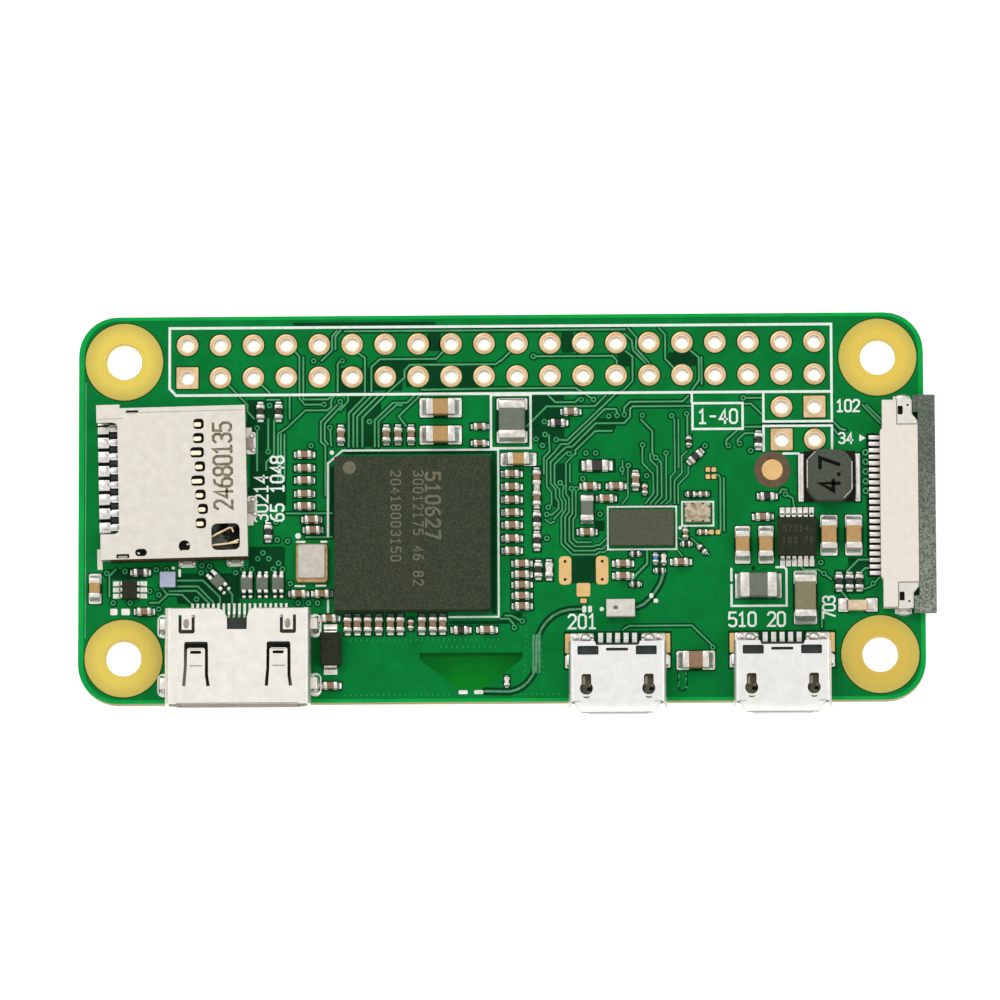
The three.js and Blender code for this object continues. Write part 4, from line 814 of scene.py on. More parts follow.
VIAS = ((-18.75, 6.3), (-17.9, 4.45), (-14.4, 11.5), (-12.2, 11.5), (-12.35, 8.3), (-13.6, 8.1), (-14.6, 4.9), (-10.1, 6.75), (8.3, 7.05), (8.95, 7.1), (9.5, 7.15),
        (3.35, 6.65), (3.4, 5.65), (2.7, 5.3), (3.2, 4.8), (4.25, 5.25), (5.25, 4.15), (6.55, 4.2), (7.3, 4.2), (10.9, 7.1), (13.15, 7.05), (14.3, 7.2), (10.9, 4.8),
        (12.7, 4.15), (11.9, 3.8), (9.8, 3.2), (15.7, 4.7), (6.3, 2.2), (4.55, 1.9), (5.42, 1.45), (5.8, 1.42), (3.62, 0.0), (3.5, -0.55), (3.5, -2.4), (7.6, -0.55), (9.3, 2.9), (11.2, 2.4), (2.53, 11.74), (6.2, 8.35), (7.15, 8.35),
        (-30.3, -4.9), (-28.9, -4.75), (-26.5, -4.65), (-25.7, -4.65), (-23.0, -4.35), (-22.4, -4.4), (-23.05, -4.9), (-20.4, -4.9), (-19.85, -4.65), (-19.15, -4.65),
        (-18.7, -3.85), (-18.3, -3.4), (-17.85, -3.85), (-17.1, -4.2), (-17.5, -4.65), (-16.8, -4.65), (-17.2, -2.4), (-26.3, -6.6), (-26.3, -7.7), (-28.5, -7.2),
        (-29.8, -7.2), (-27.0, -6.3), (-23.4, -6.95), (18.65, 8.4), (24.75, -5.25), (24.5, -4.4), (1.6, -8.78), (1.0, -9.28), (16.2, -10.9), (-17.3, -1.0), (28.5, -6.05), (21.85, 0.9), (17.5, 4.7), (18.35, 4.85), (19.2, 4.3), (-17.8, 8.05), (-13.15, 6.3),
        (-16.4, -2.5), (-16.2, -5.8), (-15.6, -7.3), (-14.8, -7.3), (-14.1, -7.3))
for x, y in VIAS:
    hole(x, y)
for y in (4.1, 3.38, 2.62, 1.86, 1.12):
    hole(28.0, y, 0.26)
fence = Piece("small_via_marks", MASK_SPECK, "solder_mask", smooth=0)
for i in range(56):
    x, y = -11.8 + 0.42 * (i // 2) + 0.21 * (i % 2), -10.2 if i % 2 else -10.75
    if i % 2 or x > -5:
        fence.add(prism(ring(x, y, 0.075, 8), TOP, Z_POUR + 0.006))
        bare.add(prism(ring(x - 0.1, y + 0.03, 0.05, 6), TOP, Z_BARE))
for i in range(40):
    x = -12 + 0.42 * i
    if not -3.6 < x < -0.9:
        fence.add(prism(ring(x, -14.42, 0.07, 8), TOP, Z_POUR + 0.006))
for i in range(9):
    fence.add(prism(ring(3.25 - 0.03 * i, -13.7 + 0.45 * i, 0.06, 8), TOP, Z_POUR + 0.006))
    fence.add(prism(ring(1.75 + 0.02 * i, -12.6 + 0.45 * i, 0.06, 8), TOP, Z_POUR + 0.006))

# covered track end beside the larger capacitor
bare.add(strip([(13.5, -12.85), (13.5, -13.9), (13.62, -14.15), (13.85, -14.25), (14.08, -14.15), (14.2, -13.9), (14.2, -12.85)], 0.13, TOP, Z_BARE + lift()))
for pts in (((13.57, -13.0), (13.57, -13.25)), ((13.6, -13.55), (13.5, -13.9)), ((14.1, -12.85), (14.16, -12.98)), ((14.15, -13.25), (14.1, -13.5)), ((14.22, -13.95), (14.05, -13.97))):
    trace.add(strip(list(pts), 0.1, TOP, Z_TRACE))

# antenna: a slot in the pour with its feed
recess.add(prism([(-6.28, -11.2), (1.62, -11.2), (1.62, -11.66), (-1.3, -13.95), (-3.35, -14.0), (-6.28, -11.7)], TOP, Z_BARE + 0.001))
dark(5.4, -3.85, 7.3, -5.9, 0.05)
wide = Piece("antenna_feed", MASK_WIDE, "solder_mask", smooth=20)


def feed(pts, w=0.16):
    bare.add(strip(pts, 0.6, TOP, Z_BARE + lift()))
    wide.add(strip(pts, w, TOP, Z_TRACE, slope=0.02))


feed([(-1.25, -14.18), (0.6, -14.22), (1.1, -14.1), (1.6, -13.85), (2.05, -13.45), (2.4, -12.95), (2.6, -12.5), (2.69, -12.0), (2.7, -10.6), (2.76, -10.2), (2.9, -9.75), (3.15, -9.25),
      (3.5, -8.8), (3.95, -8.4), (4.5, -8.1), (5.2, -7.92), (6.1, -7.88)])
for x in (2.44, 2.66, 2.9):
    wide.add(strip([(x - 0.02, -12.75), (x, -12.2), (x, -10.4), (x + 0.05, -9.9)], 0.17, TOP, Z_TRACE + 0.004))
feed([(10.4, -7.75), (10.9, -7.55), (11.4, -7.1), (11.85, -6.5), (12.2, -5.9), (12.4, -5.3), (12.45, -5.0)], 0.18)

# ------------------------------------------------------------------ printing

S0, S1 = TOP, Z_SILK


def line(*pts, w=0.17):
    silk.add(strip(pts, w, S0, S1 + lift()))


line((-25.0, 8.86), (25.45, 8.86), (25.45, 14.1), (-25.5, 14.1), (-25.5, 9.4), (-25.0, 8.86), w=0.2)
line((14.7, 8.75), (14.7, 8.1), w=0.17)
line((14.75, 6.0), (18.6, 6.0), (18.6, 8.0), (14.75, 8.0), (14.75, 6.0), w=0.18)
line((20.2, 8.75), (20.2, 6.55), (25.45, 6.55), (25.45, 8.75), w=0.18)
line((20.2, 4.3), (20.2, 6.2), (25.45, 6.2), (25.45, 4.3), w=0.18)
line((-13.3, 3.55), (-13.3, -2.15), w=0.16)
line((-13.3, -7.1), (-13.3, -8.0), w=0.16)
line((-13.3, 3.5), (-12.2, 4.5), (-0.2, 4.5), (-0.2, -8.45), (-4.0, -8.45), w=0.15)
line((-0.75, 4.6), (2.3, 4.6), (2.3, 8.75), (-0.75, 8.75), (-0.75, 4.6), w=0.18)
line((21.1, -4.75), (21.7, -4.75), (21.87, -4.92), (21.87, -7.72), (17.65, -7.72), (17.65, -6.1), w=0.17)
line((17.65, -5.75), (17.65, -4.85), w=0.17)
line((8.2, 0.0), (13.45, 0.0), (13.45, -3.3), (8.2, -3.3), (8.2, 0.0), w=0.13)
line((13.9, 0.35), (16.3, 0.35), (16.3, -1.5), (13.9, -1.5), (13.9, 0.35), w=0.13)
line((21.7, 4.05), (22.9, 4.05), w=0.16)
for x, y, r in ((-13.0, 4.35, 0.17), (13.75, -1.65, 0.15), (-15.6, -2.1, 0.22), (7.7, -7.9, 0.17)):
    silk.add(prism(ring(x, y, r, 16), S0, S1))
silk.add(prism([(27.55, 5.5), (27.55, 4.95), (28.05, 5.22)], S0, S1))
digits(silk, "1-40", 15.25, 6.45, 1.05, 0.16, S0, S1, 0, 0.755)
digits(silk, "102", 25.85, 7.3, 0.88, 0.15, S0, S1, 0, 0.71)
digits(silk, "34", 26.0, 4.82, 0.8, 0.14, S0, S1, 0, 0.75)
digits(silk, "201", 5.15, -9.38, 1.05, 0.16, S0, S1, 0, 0.74)
digits(silk, "510 20", 17.45, -9.28, 1.05, 0.16, S0, S1, 0, 0.71)
digits(silk, "703", 25.55, -8.7, 0.9, 0.15, S0, S1, 90, 0.66)
digits(silk, "30214", -17.95, -0.95, 0.98, 0.15, S0, S1, 90, 0.77)
digits(silk, "65 1048", -16.72, -0.9, 0.98, 0.16, S0, S1, 90, 0.76)

# ------------------------------------------------------------------ bare pads

pads.add(prism(rrect(4.43, -6.0, 5.38, -3.8, 0.3, 4), TOP, Z_PAD))
pads.add(prism(rrect(7.27, -6.0, 8.22, -3.8, 0.3, 4), TOP, Z_PAD))
pads.add(prism(rrect(5.78, -6.92, 6.82, -5.88, 0.12, 3), TOP, Z_PAD))
for x, y, w, h in ((6.3, -7.25, 0.5, 0.35), (15.9, 2.85, 0.35, 0.35), (16.36, 2.85, 0.35, 0.35),
                   (15.9, 2.3, 0.35, 0.35), (16.36, 2.3, 0.35, 0.35), (16.15, -2.0, 0.35, 0.35), (16.65, -2.0, 0.35, 0.35)):
    bare.add(prism(rrect(x - w / 2 - 0.08, y - h / 2 - 0.08, x + w / 2 + 0.08, y + h / 2 + 0.08, 0.06, 2), TOP, Z_BARE + lift()))
    pads.add(prism(rrect(x - w / 2, y - h / 2, x + w / 2, y + h / 2, 0.06, 2), TOP, Z_PAD))
# dark discs on the pads: painted shadow in their via holes
for x, y in ((4.9, -4.2), (4.9, -5.6), (7.75, -4.2), (7.75, -5.6)):
    via_dot.add(prism(ring(x, y, 0.12, 10), TOP, Z_PAD + 0.004))
for x, y, w, h in ((-29.75, -7.9, 0.55, 0.5), (-28.85, -7.9, 0.65, 0.5), (-24.7, -4.92, 0.2, 0.62), (-25.2, -4.52, 0.26, 0.22), (-15.4, -2.56, 0.75, 0.16), (-13.62, -2.56, 0.55, 0.16), (-15.45, -5.98, 0.85, 0.14), (-13.85, -5.96, 0.85, 0.14), (-2.95, -14.25, 0.7, 0.3), (-1.75, -14.25, 0.7, 0.3), (11.85, -7.28, 0.34, 0.3), (11.5, -6.88, 0.3, 0.36), (6.35, -7.9, 0.3, 0.5), (6.8, -7.9, 0.3, 0.5)):
    tinned.add(prism(rrect(x - w / 2, y - h / 2, x + w / 2, y + h / 2, 0.08, 2), TOP, Z_PAD))

test_ring = Piece("test_pad_rim", TEST_RING, "solder_mask", smooth=30)
test_ring.add(lathe([(0.78, TOP), (1.4, TOP), (1.4, Z_PAD), (1.36, Z_PAD + 0.01), (0.82, Z_PAD + 0.01), (0.78, Z_PAD)], 20.85, 2.8, 48))
pads.add(lathe([(0.0, TOP), (0.8, TOP), (0.8, Z_PAD + 0.014), (0.76, Z_PAD + 0.024), (0.68, Z_PAD + 0.016), (0.0, Z_PAD + 0.016)], 20.85, 2.8, 40))

# ------------------------------------------------------------------ small passive parts

cap_body = Piece("small_capacitor_bodies", BROWN, "ceramic_tan", smooth=40)
res_body = Piece("small_resistor_bodies", RES_BLACK, "ceramic_dark", smooth=40)
blue_body = Piece("small_blue_capacitor", BLUE, "ceramic_dark", smooth=40)
terms = Piece("small_part_terminals", TERMINAL, "tin_plate", smooth=40)
joints = Piece("small_part_solder", SOLDER, "solder", smooth=50)
pale_body = Piece("small_pale_part", PALE, "ceramic_white", smooth=40)
KINDS = {"C": cap_body, "R": res_body, "B": blue_body, "P": pale_body}


def chip(kind, x, y, deg=0.0, L=1.0, W=0.5, H=0.5, land=None, term=None):
    """A chip part with its end caps, the solder wetting them and the window in the mask."""
    at = place(x, y, 0, deg)
    if kind == "R":
        H = min(H, 0.35)
    land = land or L + 0.7
    term = term or L * 0.26
    z = TOP + 0.03
    KINDS[kind].add(rbox(-L / 2 + term * 0.8, -W / 2, z, L / 2 - term * 0.8, W / 2, z + H, 0.03, 1), at)
    bw, lw = W / 2 + 0.14, land / 2 + 0.08
    bare.add(prism(rrect(-lw, -bw, lw, bw, 0.08, 2), TOP, Z_BARE + lift()), at)
    for s in (-1, 1):
        a, b = sorted((s * (L / 2 - term), s * (L / 2 + 0.012)))
        terms.add(rbox(a, -W / 2 - 0.012, z, b, W / 2 + 0.012, z + H + 0.012, 0.05, 2), at)
        joints.add(fillet(s * (L / 2 + 0.005), s, W * 0.96, (land - L) / 2, H * 0.82, TOP), at)
        a, b = sorted((s * (L / 2 - term - 0.03), s * (L / 2 + 0.02)))
        tinned.add(prism(rrect(a, -W / 2 - 0.05, b, W / 2 + 0.05, 0.03, 2), TOP, Z_PAD), at)


SMALL = (
    ("C", 0, ((-15.1, 4.2), (-15.1, 3.15), (-15.1, 2.2), (-15.1, 1.15), (-15.1, 0.2), (-14.55, -0.85), (-14.45, -1.65), (-15.55, -6.6), (-13.75, -6.6), (-13.2, -8.5),
              (-13.1, -13.7), (0.85, 2.6), (0.85, 1.6), (0.85, 0.6), (0.85, -0.4), (0.85, -1.37), (0.85, -2.4), (0.85, -3.35), (1.6, -4.36), (1.6, -5.2), (1.6, -6.0),
              (1.6, -6.84), (1.6, -7.64), (5.4, 7.4), (6.85, 1.6), (8.85, 1.6), (8.1, 0.65), (6.6, -1.95), (9.35, -4.4), (9.35, -5.35), (13.8, -4.3), (20.1, -0.85), (-1.1, -9.45))),
    ("C", 90, ((-11.8, -9.0), (-11.05, -9.0), (-10.25, -9.0), (-9.4, -9.0), (-8.5, -9.0), (-7.75, -9.0), (-6.1, -9.0), (-5.25, -9.0), (-4.5, -9.0), (-12.3, 5.7),
               (-8.8, 5.7), (-7.9, 5.7), (-6.9, 5.7), (2.75, 2.3), (2.75, 0.7), (10.35, 2.05))),
    ("R", 0, ((-3.1, -9.45), (4.4, 6.55), (20.45, 0.75), (-27.7, -4.85))),
    ("R", 90, ((-18.5, 7.55), (-17.1, 7.55), (-17.9, -1.8), (2.75, -0.95), (2.75, -2.6), (2.85, -4.85), (19.8, 5.1), (25.9, -5.9), (26.7, -5.9), (27.45, -5.9))),
)
for kind, deg, where in SMALL:
    for x, y in where:
        chip(kind, x, y, deg)
for kind, x, y, deg in (("C", -6.95, -9.0, 90), ("C", 11.05, 1.35, 90), ("R", 14.45, 5.05, 90), ("R", 14.6, 0.95, 0), ("C", 15.55, 0.95, 0),
                        ("R", 10.3, -3.65, 0), ("R", 12.15, -4.95, 0), ("C", 14.15, -2.1, 90), ("R", 14.2, -2.9, 0), ("R", 15.43, -3.32, -45), ("R", 10.3, -6.0, 0),
                        ("C", 15.5, -2.0, 0), ("P", 0.4, -13.45, 90)):
    chip(kind, x, y, deg, 0.62, 0.32, 0.3, land=1.05)
chip("R", 14.95, 3.85, 42)
chip("C", -27.4, -7.9, 0)
chip("P", 3.68, -4.85, 90)
chip("C", -1.6, 6.3, 0, 0.86, 0.42, 0.42, land=1.5)
chip("C", -1.6, 5.0, 0, 0.86, 0.42, 0.42, land=1.5)
chip("B", 11.85, -4.0, 90, 0.62, 0.32, 0.3, land=1.1)
chip("P", 12.47, -4.05, 90, 0.62, 0.32, 0.3, land=1.1)
chip("R", 7.4, 3.2, 0, 1.6, 0.8, 0.5, land=2.7)

# larger chip parts: end caps over the CAD bodies
big_terms = Piece("large_part_terminals", TERMINAL, "tin_plate", smooth=40)
big_solder = Piece("large_part_solder", SOLDER, "solder", smooth=50)


def caps_on(x0, x1, y0, y1, h, along, term, land, width=None, body=None, lift_z=0.012):
    """End caps, pads and solder on a chip whose long axis is x or y."""
    cx, cy = (x0 + x1) / 2, (y0 + y1) / 2
    L, W = (x1 - x0, y1 - y0) if along == "x" else (y1 - y0, x1 - x0)
    at = place(cx, cy, 0, 0 if along == "x" else 90)
    width = width or W + 0.2
    bare.add(prism(rrect(-land / 2 - 0.1, -width / 2 - 0.1, land / 2 + 0.1, width / 2 + 0.1, 0.12, 2), TOP, Z_BARE + lift()), at)
    for s in (-1, 1):
        a, b = sorted((s * (L / 2 - term), s * (L / 2 + 0.03)))
        big_terms.add(rbox(a, -W / 2 - 0.03, TOP + 0.02, b, W / 2 + 0.03, TOP + h + 0.03, 0.09, 3), at)
        big_solder.add(fillet(s * (L / 2 + 0.02), s, W * 0.98, (land - L) / 2, h * 0.72, TOP), at)
        a, b = sorted((s * (L / 2 - term), s * land / 2))
        tinned.add(prism(rrect(a, -width / 2, b, width / 2, 0.08, 2), TOP, Z_PAD - 0.005), at)


def box_of(name):
    lo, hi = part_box(name)
    return [c / MM for c in lo], [c / MM for c in hi]


for name, along, term, land, width in (("bulk_capacitor_1", "x", 0.55, 3.2, 1.5), ("bulk_capacitor_2", "x", 0.55, 3.2, 1.45), ("core_capacitor", "x", 0.42, 2.75, 1.0),
                                       ("regulator_capacitor_1", "y", 0.45, 2.9, 1.15), ("regulator_capacitor_2", "y", 0.45, 2.9, 1.15),
                                       ("regulator_capacitor_3", "y", 0.5, 3.1, 1.3), ("regulator_capacitor_4", "y", 0.5, 3.1, 1.3),
                                       ("input_capacitor", "y", 0.55, 4.1, 1.75), ("socket_capacitor", "x", 0.5, 2.9, 1.45), ("card_capacitor", "y", 0.4, 2.3, 0.95),
                                       ("core_supply_inductor", "y", 0.62, 3.45, 2.35), ("input_filter_inductor", "x", 0.72, 3.5, 1.9),
                                       ("radio_choke", "y", 0.45, 2.2, 1.0)):
    lo, hi = box_of(name)
    caps_on(lo[0], hi[0], lo[1], hi[1], hi[2] - TOP, along, term, land, width)

# ------------------------------------------------------------------ leads

leads = Piece("package_leads", TERMINAL, "tin_plate", smooth=40)


def wall(profile, y0, y1):
    v, f = prism(profile, y0, y1)
    return [(x, z, y) for x, y, z in v], f


def gull(x, y, deg, w, reach, h):
    p = [(-0.06, TOP + h), (-0.06, TOP + h + 0.1), (0.22 * reach, TOP + h + 0.1), (0.3 * reach, TOP + h + 0.07), (0.5 * reach, TOP + 0.16), (0.58 * reach, TOP + 0.13),
         (reach, TOP + 0.12), (reach, TOP + 0.02), (0.42 * reach, TOP + 0.02), (0.34 * reach, TOP + 0.08), (0.18 * reach, TOP + h)]
    leads.add(wall(p, -w / 2, w / 2), place(x, y, 0, deg))
    at = place(x, y, 0, deg)
    tinned.add(prism(rrect(0.3 * reach, -w / 2 - 0.04, reach + 0.14, w / 2 + 0.04, 0.04, 2), TOP, Z_PAD), at)
    joints.add(fillet(reach - 0.02, 1, w * 0.9, 0.13, 0.1, TOP), at)


dark(21.3, -0.05, 24.1, -0.95, 0.05)
dark(21.3, -3.95, 24.1, -4.75, 0.05)
for i in range(6):
    x = 21.58 + 0.45 * i
    gull(x, -0.95, 90, 0.29, 0.68, 0.35)
    gull(x, -3.95, -90, 0.29, 0.6, 0.35)
for y in (-5.72, -6.2, -6.68):
    gull(-29.05, y, 180, 0.28, 0.62, 0.22)
    gull(-27.97, y, 0, 0.28, 0.62, 0.22)
gull(-13.1, -9.65, 90, 0.95, 0.55, 0.4)
gull(-13.1, -12.2, -90, 0.95, 0.5, 0.4)
for x0, x1 in ((25.92, 26.5), (28.02, 28.72)):
    big_terms.add(rbox(x0, -8.1, TOP + 0.01, x1, -7.28, TOP + 0.26, 0.06, 2))
    tinned.add(prism(rrect(x0 - 0.1, -8.22, x1 + 0.1, -7.18, 0.06, 2), TOP, Z_PAD))
    bare.add(prism(rrect(x0 - 0.2, -8.34, x1 + 0.2, -7.06, 0.08, 2), TOP, Z_BARE + lift()))
led_line = Piece("activity_led_ends", BROWN, "ceramic_tan", smooth=0)
for x in (26.53, 27.98):
    led_line.add(rbox(x - 0.05, -8.06, TOP, x + 0.05, -7.32, TOP + 0.32, 0.02, 1))


def array(x, y, deg):
    """Two pairs of end terminals with their solder, for a four terminal part."""
    at = place(x, y, 0, deg)
    bare.add(prism(rrect(-0.56, -1.1, 0.56, 1.05, 0.05, 2), TOP, Z_BARE + lift()), at)
    for px in (-0.25, 0.25):
        for y0, y1 in ((0.42, 0.76), (-0.72, -0.42)):
            joints.add(rbox(px - 0.17, y0, TOP + 0.02, px + 0.17, y1, TOP + 0.47, 0.08, 3), at)
        for y0, y1 in ((0.8, 1.0), (-1.05, -0.84)):
            tinned.add(prism(rrect(px - 0.13, y0, px + 0.13, y1, 0.08, 3), TOP, Z_PAD), at)


for x in (-19.5, -18.3, -17.12):
    array(x, -5.83, 0)
turned = Piece("filter_array_turned", CHOKE, "ceramic_dark", smooth=40)
at = place(-21.75, -5.6, 0, 43)
turned.add(rbox(-0.44, -0.44, TOP + 0.02, 0.44, 0.44, TOP + 0.42, 0.05, 2), at)
array(-21.75, -5.6, 43)

# ------------------------------------------------------------------ socket shells, bent from sheet


def along_y(profile, y0, y1, dx=0.0):
    v, f = prism(profile, y0, y1)
    return [(a + dx, c, b) for a, b, c in v], f


def loft(rows):
    m = len(rows[0])
    verts = [p for row in rows for p in row]
    faces = []
    for i in range(len(rows) - 1):
        for k in range(m):
            a, b = i * m + k, i * m + (k + 1) % m
            faces.append((a, b, b + m, a + m))
    e = (len(rows) - 1) * m
    faces += [tuple(range(m))[::-1], tuple(range(e, e + m))]
    return verts, faces


def inset(path, d):
    """An open path moved d to its left."""
    pts = [Vector(p) for p in path]
    out = []
    for i, p in enumerate(pts):
        n = Vector((0, 0))
        if i:
            v = (p - pts[i - 1]).normalized()
            n += Vector((-v.y, v.x))
        if i < len(pts) - 1:
            v = (pts[i + 1] - p).normalized()
            n += Vector((-v.y, v.x))
        n.normalize()
        ref = (pts[min(i + 1, len(pts) - 1)] - pts[min(i, len(pts) - 2)]).normalized()
        c = max(n.dot(Vector((-ref.y, ref.x))), 0.5)
        out.append(tuple(p + n * d / c))
    return out


def bend(cx, cz, r, a0, a1, n=7):
    return [(cx + r * math.cos(math.radians(a0 + (a1 - a0) * i / n)), cz + r * math.sin(math.radians(a0 + (a1 - a0) * i / n))) for i in range(n + 1)]


def tube(piece, cx, half, y0, y1, y_floor, h, r, t, foot, knee, top_outline, holes):
    """A folded shell: a flat top with its openings, rounded shoulders, side walls, and a floor up to y_floor."""
    z = TOP
    piece.add(prism([(x + cx, y) for x, y in top_outline], z + h - t, z + h, [[(x + cx, y) for x, y in o] for o in holes]))
    body = [(half - r, z + h)] + bend(half - r, z + h - r, r, 90, 0)[1:] + [(half, z + knee), (half - foot, z + 0.05), (-half + foot, z + 0.05), (-half, z + knee)] + bend(-half + r, z + h - r, r, 180, 90)
    inner = inset(body, -t)
    piece.add(along_y(body + inner[::-1], y0, y_floor, cx))
    right = [(half - r, z + h)] + bend(half - r, z + h - r, r, 90, 0)[1:] + [(half, z + knee)]
    inner = inset(right, -t)
    piece.add(along_y(right + inner[::-1], y_floor, y1, cx))
    piece.add(along_y([(-x, q) for x, q in right] + [(-x, q) for x, q in inner[::-1]], y_floor, y1, cx))


def polygon_ring(cx, cy, r, a0, a1, n):
    return [(cx + r * math.cos(math.radians(a0 + (a1 - a0) * i / n)), cy + r * math.sin(math.radians(a0 + (a1 - a0) * i / n))) for i in range(n + 1)]


# mini video socket
VX, VW, VH, VT = -20.1, 5.55, 3.1, 0.25
video = Piece("video_shell", TIN_VIDEO, "tin_plate", smooth=35, replaces=("video_socket_shell",))
top_out = [(-VW + 0.42, -15.35), (VW - 0.42, -15.35), (VW - 0.42, -8.0), (1.45, -8.0), (1.15, -8.05), (0.85, -8.3), (0.74, -8.7), (0.72, -9.65), (-0.78, -9.65), (-0.8, -8.75),
           (-0.92, -8.45), (-1.2, -8.15), (-1.55, -8.0), (-VW + 0.42, -8.0)]
openings = []
for cx in (-3.15, 3.15):
    openings.append([(cx - 0.8, -10.6), (cx + 0.8, -10.6), (cx + 0.9, -10.7), (cx + 0.92, -11.3), (cx + 0.93, -13.2), (cx + 1.06, -14.0), (cx + 0.8, -14.02), (cx + 0.68, -13.2),
                     (cx + 0.68, -11.2), (cx + 0.58, -11.08), (cx - 0.58, -11.08), (cx - 0.68, -11.2), (cx - 0.7, -12.6), (cx - 0.8, -14.02), (cx - 1.06, -14.0), (cx - 0.93, -12.6),
                     (cx - 0.92, -11.3), (cx - 0.9, -10.7)])
for cx in (-3.87, 3.87):
    openings.append([(cx - 0.62, -8.55), (cx - 0.38, -8.55), (cx - 0.38, -9.68), (cx + 0.38, -9.68), (cx + 0.38, -8.55), (cx + 0.62, -8.55), (cx + 0.62, -9.85), (cx + 0.5, -9.97),
                     (cx - 0.5, -9.97), (cx - 0.62, -9.85)])
tube(video, VX, VW, -15.35, -8.0, -8.72, VH, 0.42, VT, 0.95, 1.25, top_out, openings)
for s in (-1, 1):
    for y in (-9.05, -13.6):
        a, b = sorted((VX + s * (VW - 0.12), VX + s * 6.06))
        video.add(rbox(a, y - 0.45, TOP + 1.3, b, y + 0.45, TOP + 1.55, 0.1, 3))
        a, b = sorted((VX + s * 5.83, VX + s * 6.06))
        video.add(rbox(a, y - 0.45, 0.02, b, y + 0.45, TOP + 1.5, 0.05, 2))
# Painted shade on the video shell: darker sheet lines at its bends and edges, black bars across the fingers, and darker
# domes on the dimples.
shade_v = Piece("video_shell_crease_shade", TIN_SHADE, "tin_plate", smooth=20)
dimple = Piece("video_shell_dimple_shade", TIN_DIMPLE_SHADE, "tin_plate", smooth=60)
finger_shade_v = Piece("video_shell_finger_shade_bars", INK_AND_SHADE, "plastic_dark", smooth=0)
zv = TOP + VH
for cx in (VX - 3.15, VX + 3.15):
    finger_shade_v.add(prism(rrect(cx - 0.45, -11.53, cx + 0.4, -11.3, 0.1, 3), zv - 0.05, zv + 0.003))
    shade_v.add(prism(rrect(cx - 0.5, -12.5, cx + 0.5, -12.4, 0.04, 2), zv - 0.05, zv + 0.003))
    shade_v.add(prism(rrect(cx - 0.55, -11.2, cx + 0.55, -11.14, 0.02, 2), zv - 0.05, zv + 0.002))
for cx in (VX - 3.87, VX + 3.87):
    dimple.add(dome(cx - 0.03, -9.2, 0.25, 0.42, zv - 0.02, 0.05, 20, 4))
shade_v.add(prism([(VX - VW + 0.45, -8.06), (VX - 1.5, -8.06), (VX - 1.5, -8.0), (VX - VW + 0.45, -8.0)], zv - 0.05, zv + 0.002))
shade_v.add(prism([(VX + 1.5, -8.06), (VX + VW - 0.45, -8.06), (VX + VW - 0.45, -8.0), (VX + 1.5, -8.0)], zv - 0.05, zv + 0.002))
shade_v.add(prism([(VX - VW + 0.9, -15.36), (VX + VW - 0.9, -15.36), (VX + VW - 0.9, -15.28), (VX - VW + 0.9, -15.28)], zv - 0.05, zv + 0.002))
ears = Piece("video_leg_solder", SOLDER, "solder", smooth=50)
for x, y in LEGS:
    s = 1 if x > VX else -1
    ears.add(dome(x - s * 0.08, y, 0.3, 0.66, TOP, 0.3, 24, 4))

# two micro data sockets
UW, UH, UT = 3.72, 2.65, 0.2
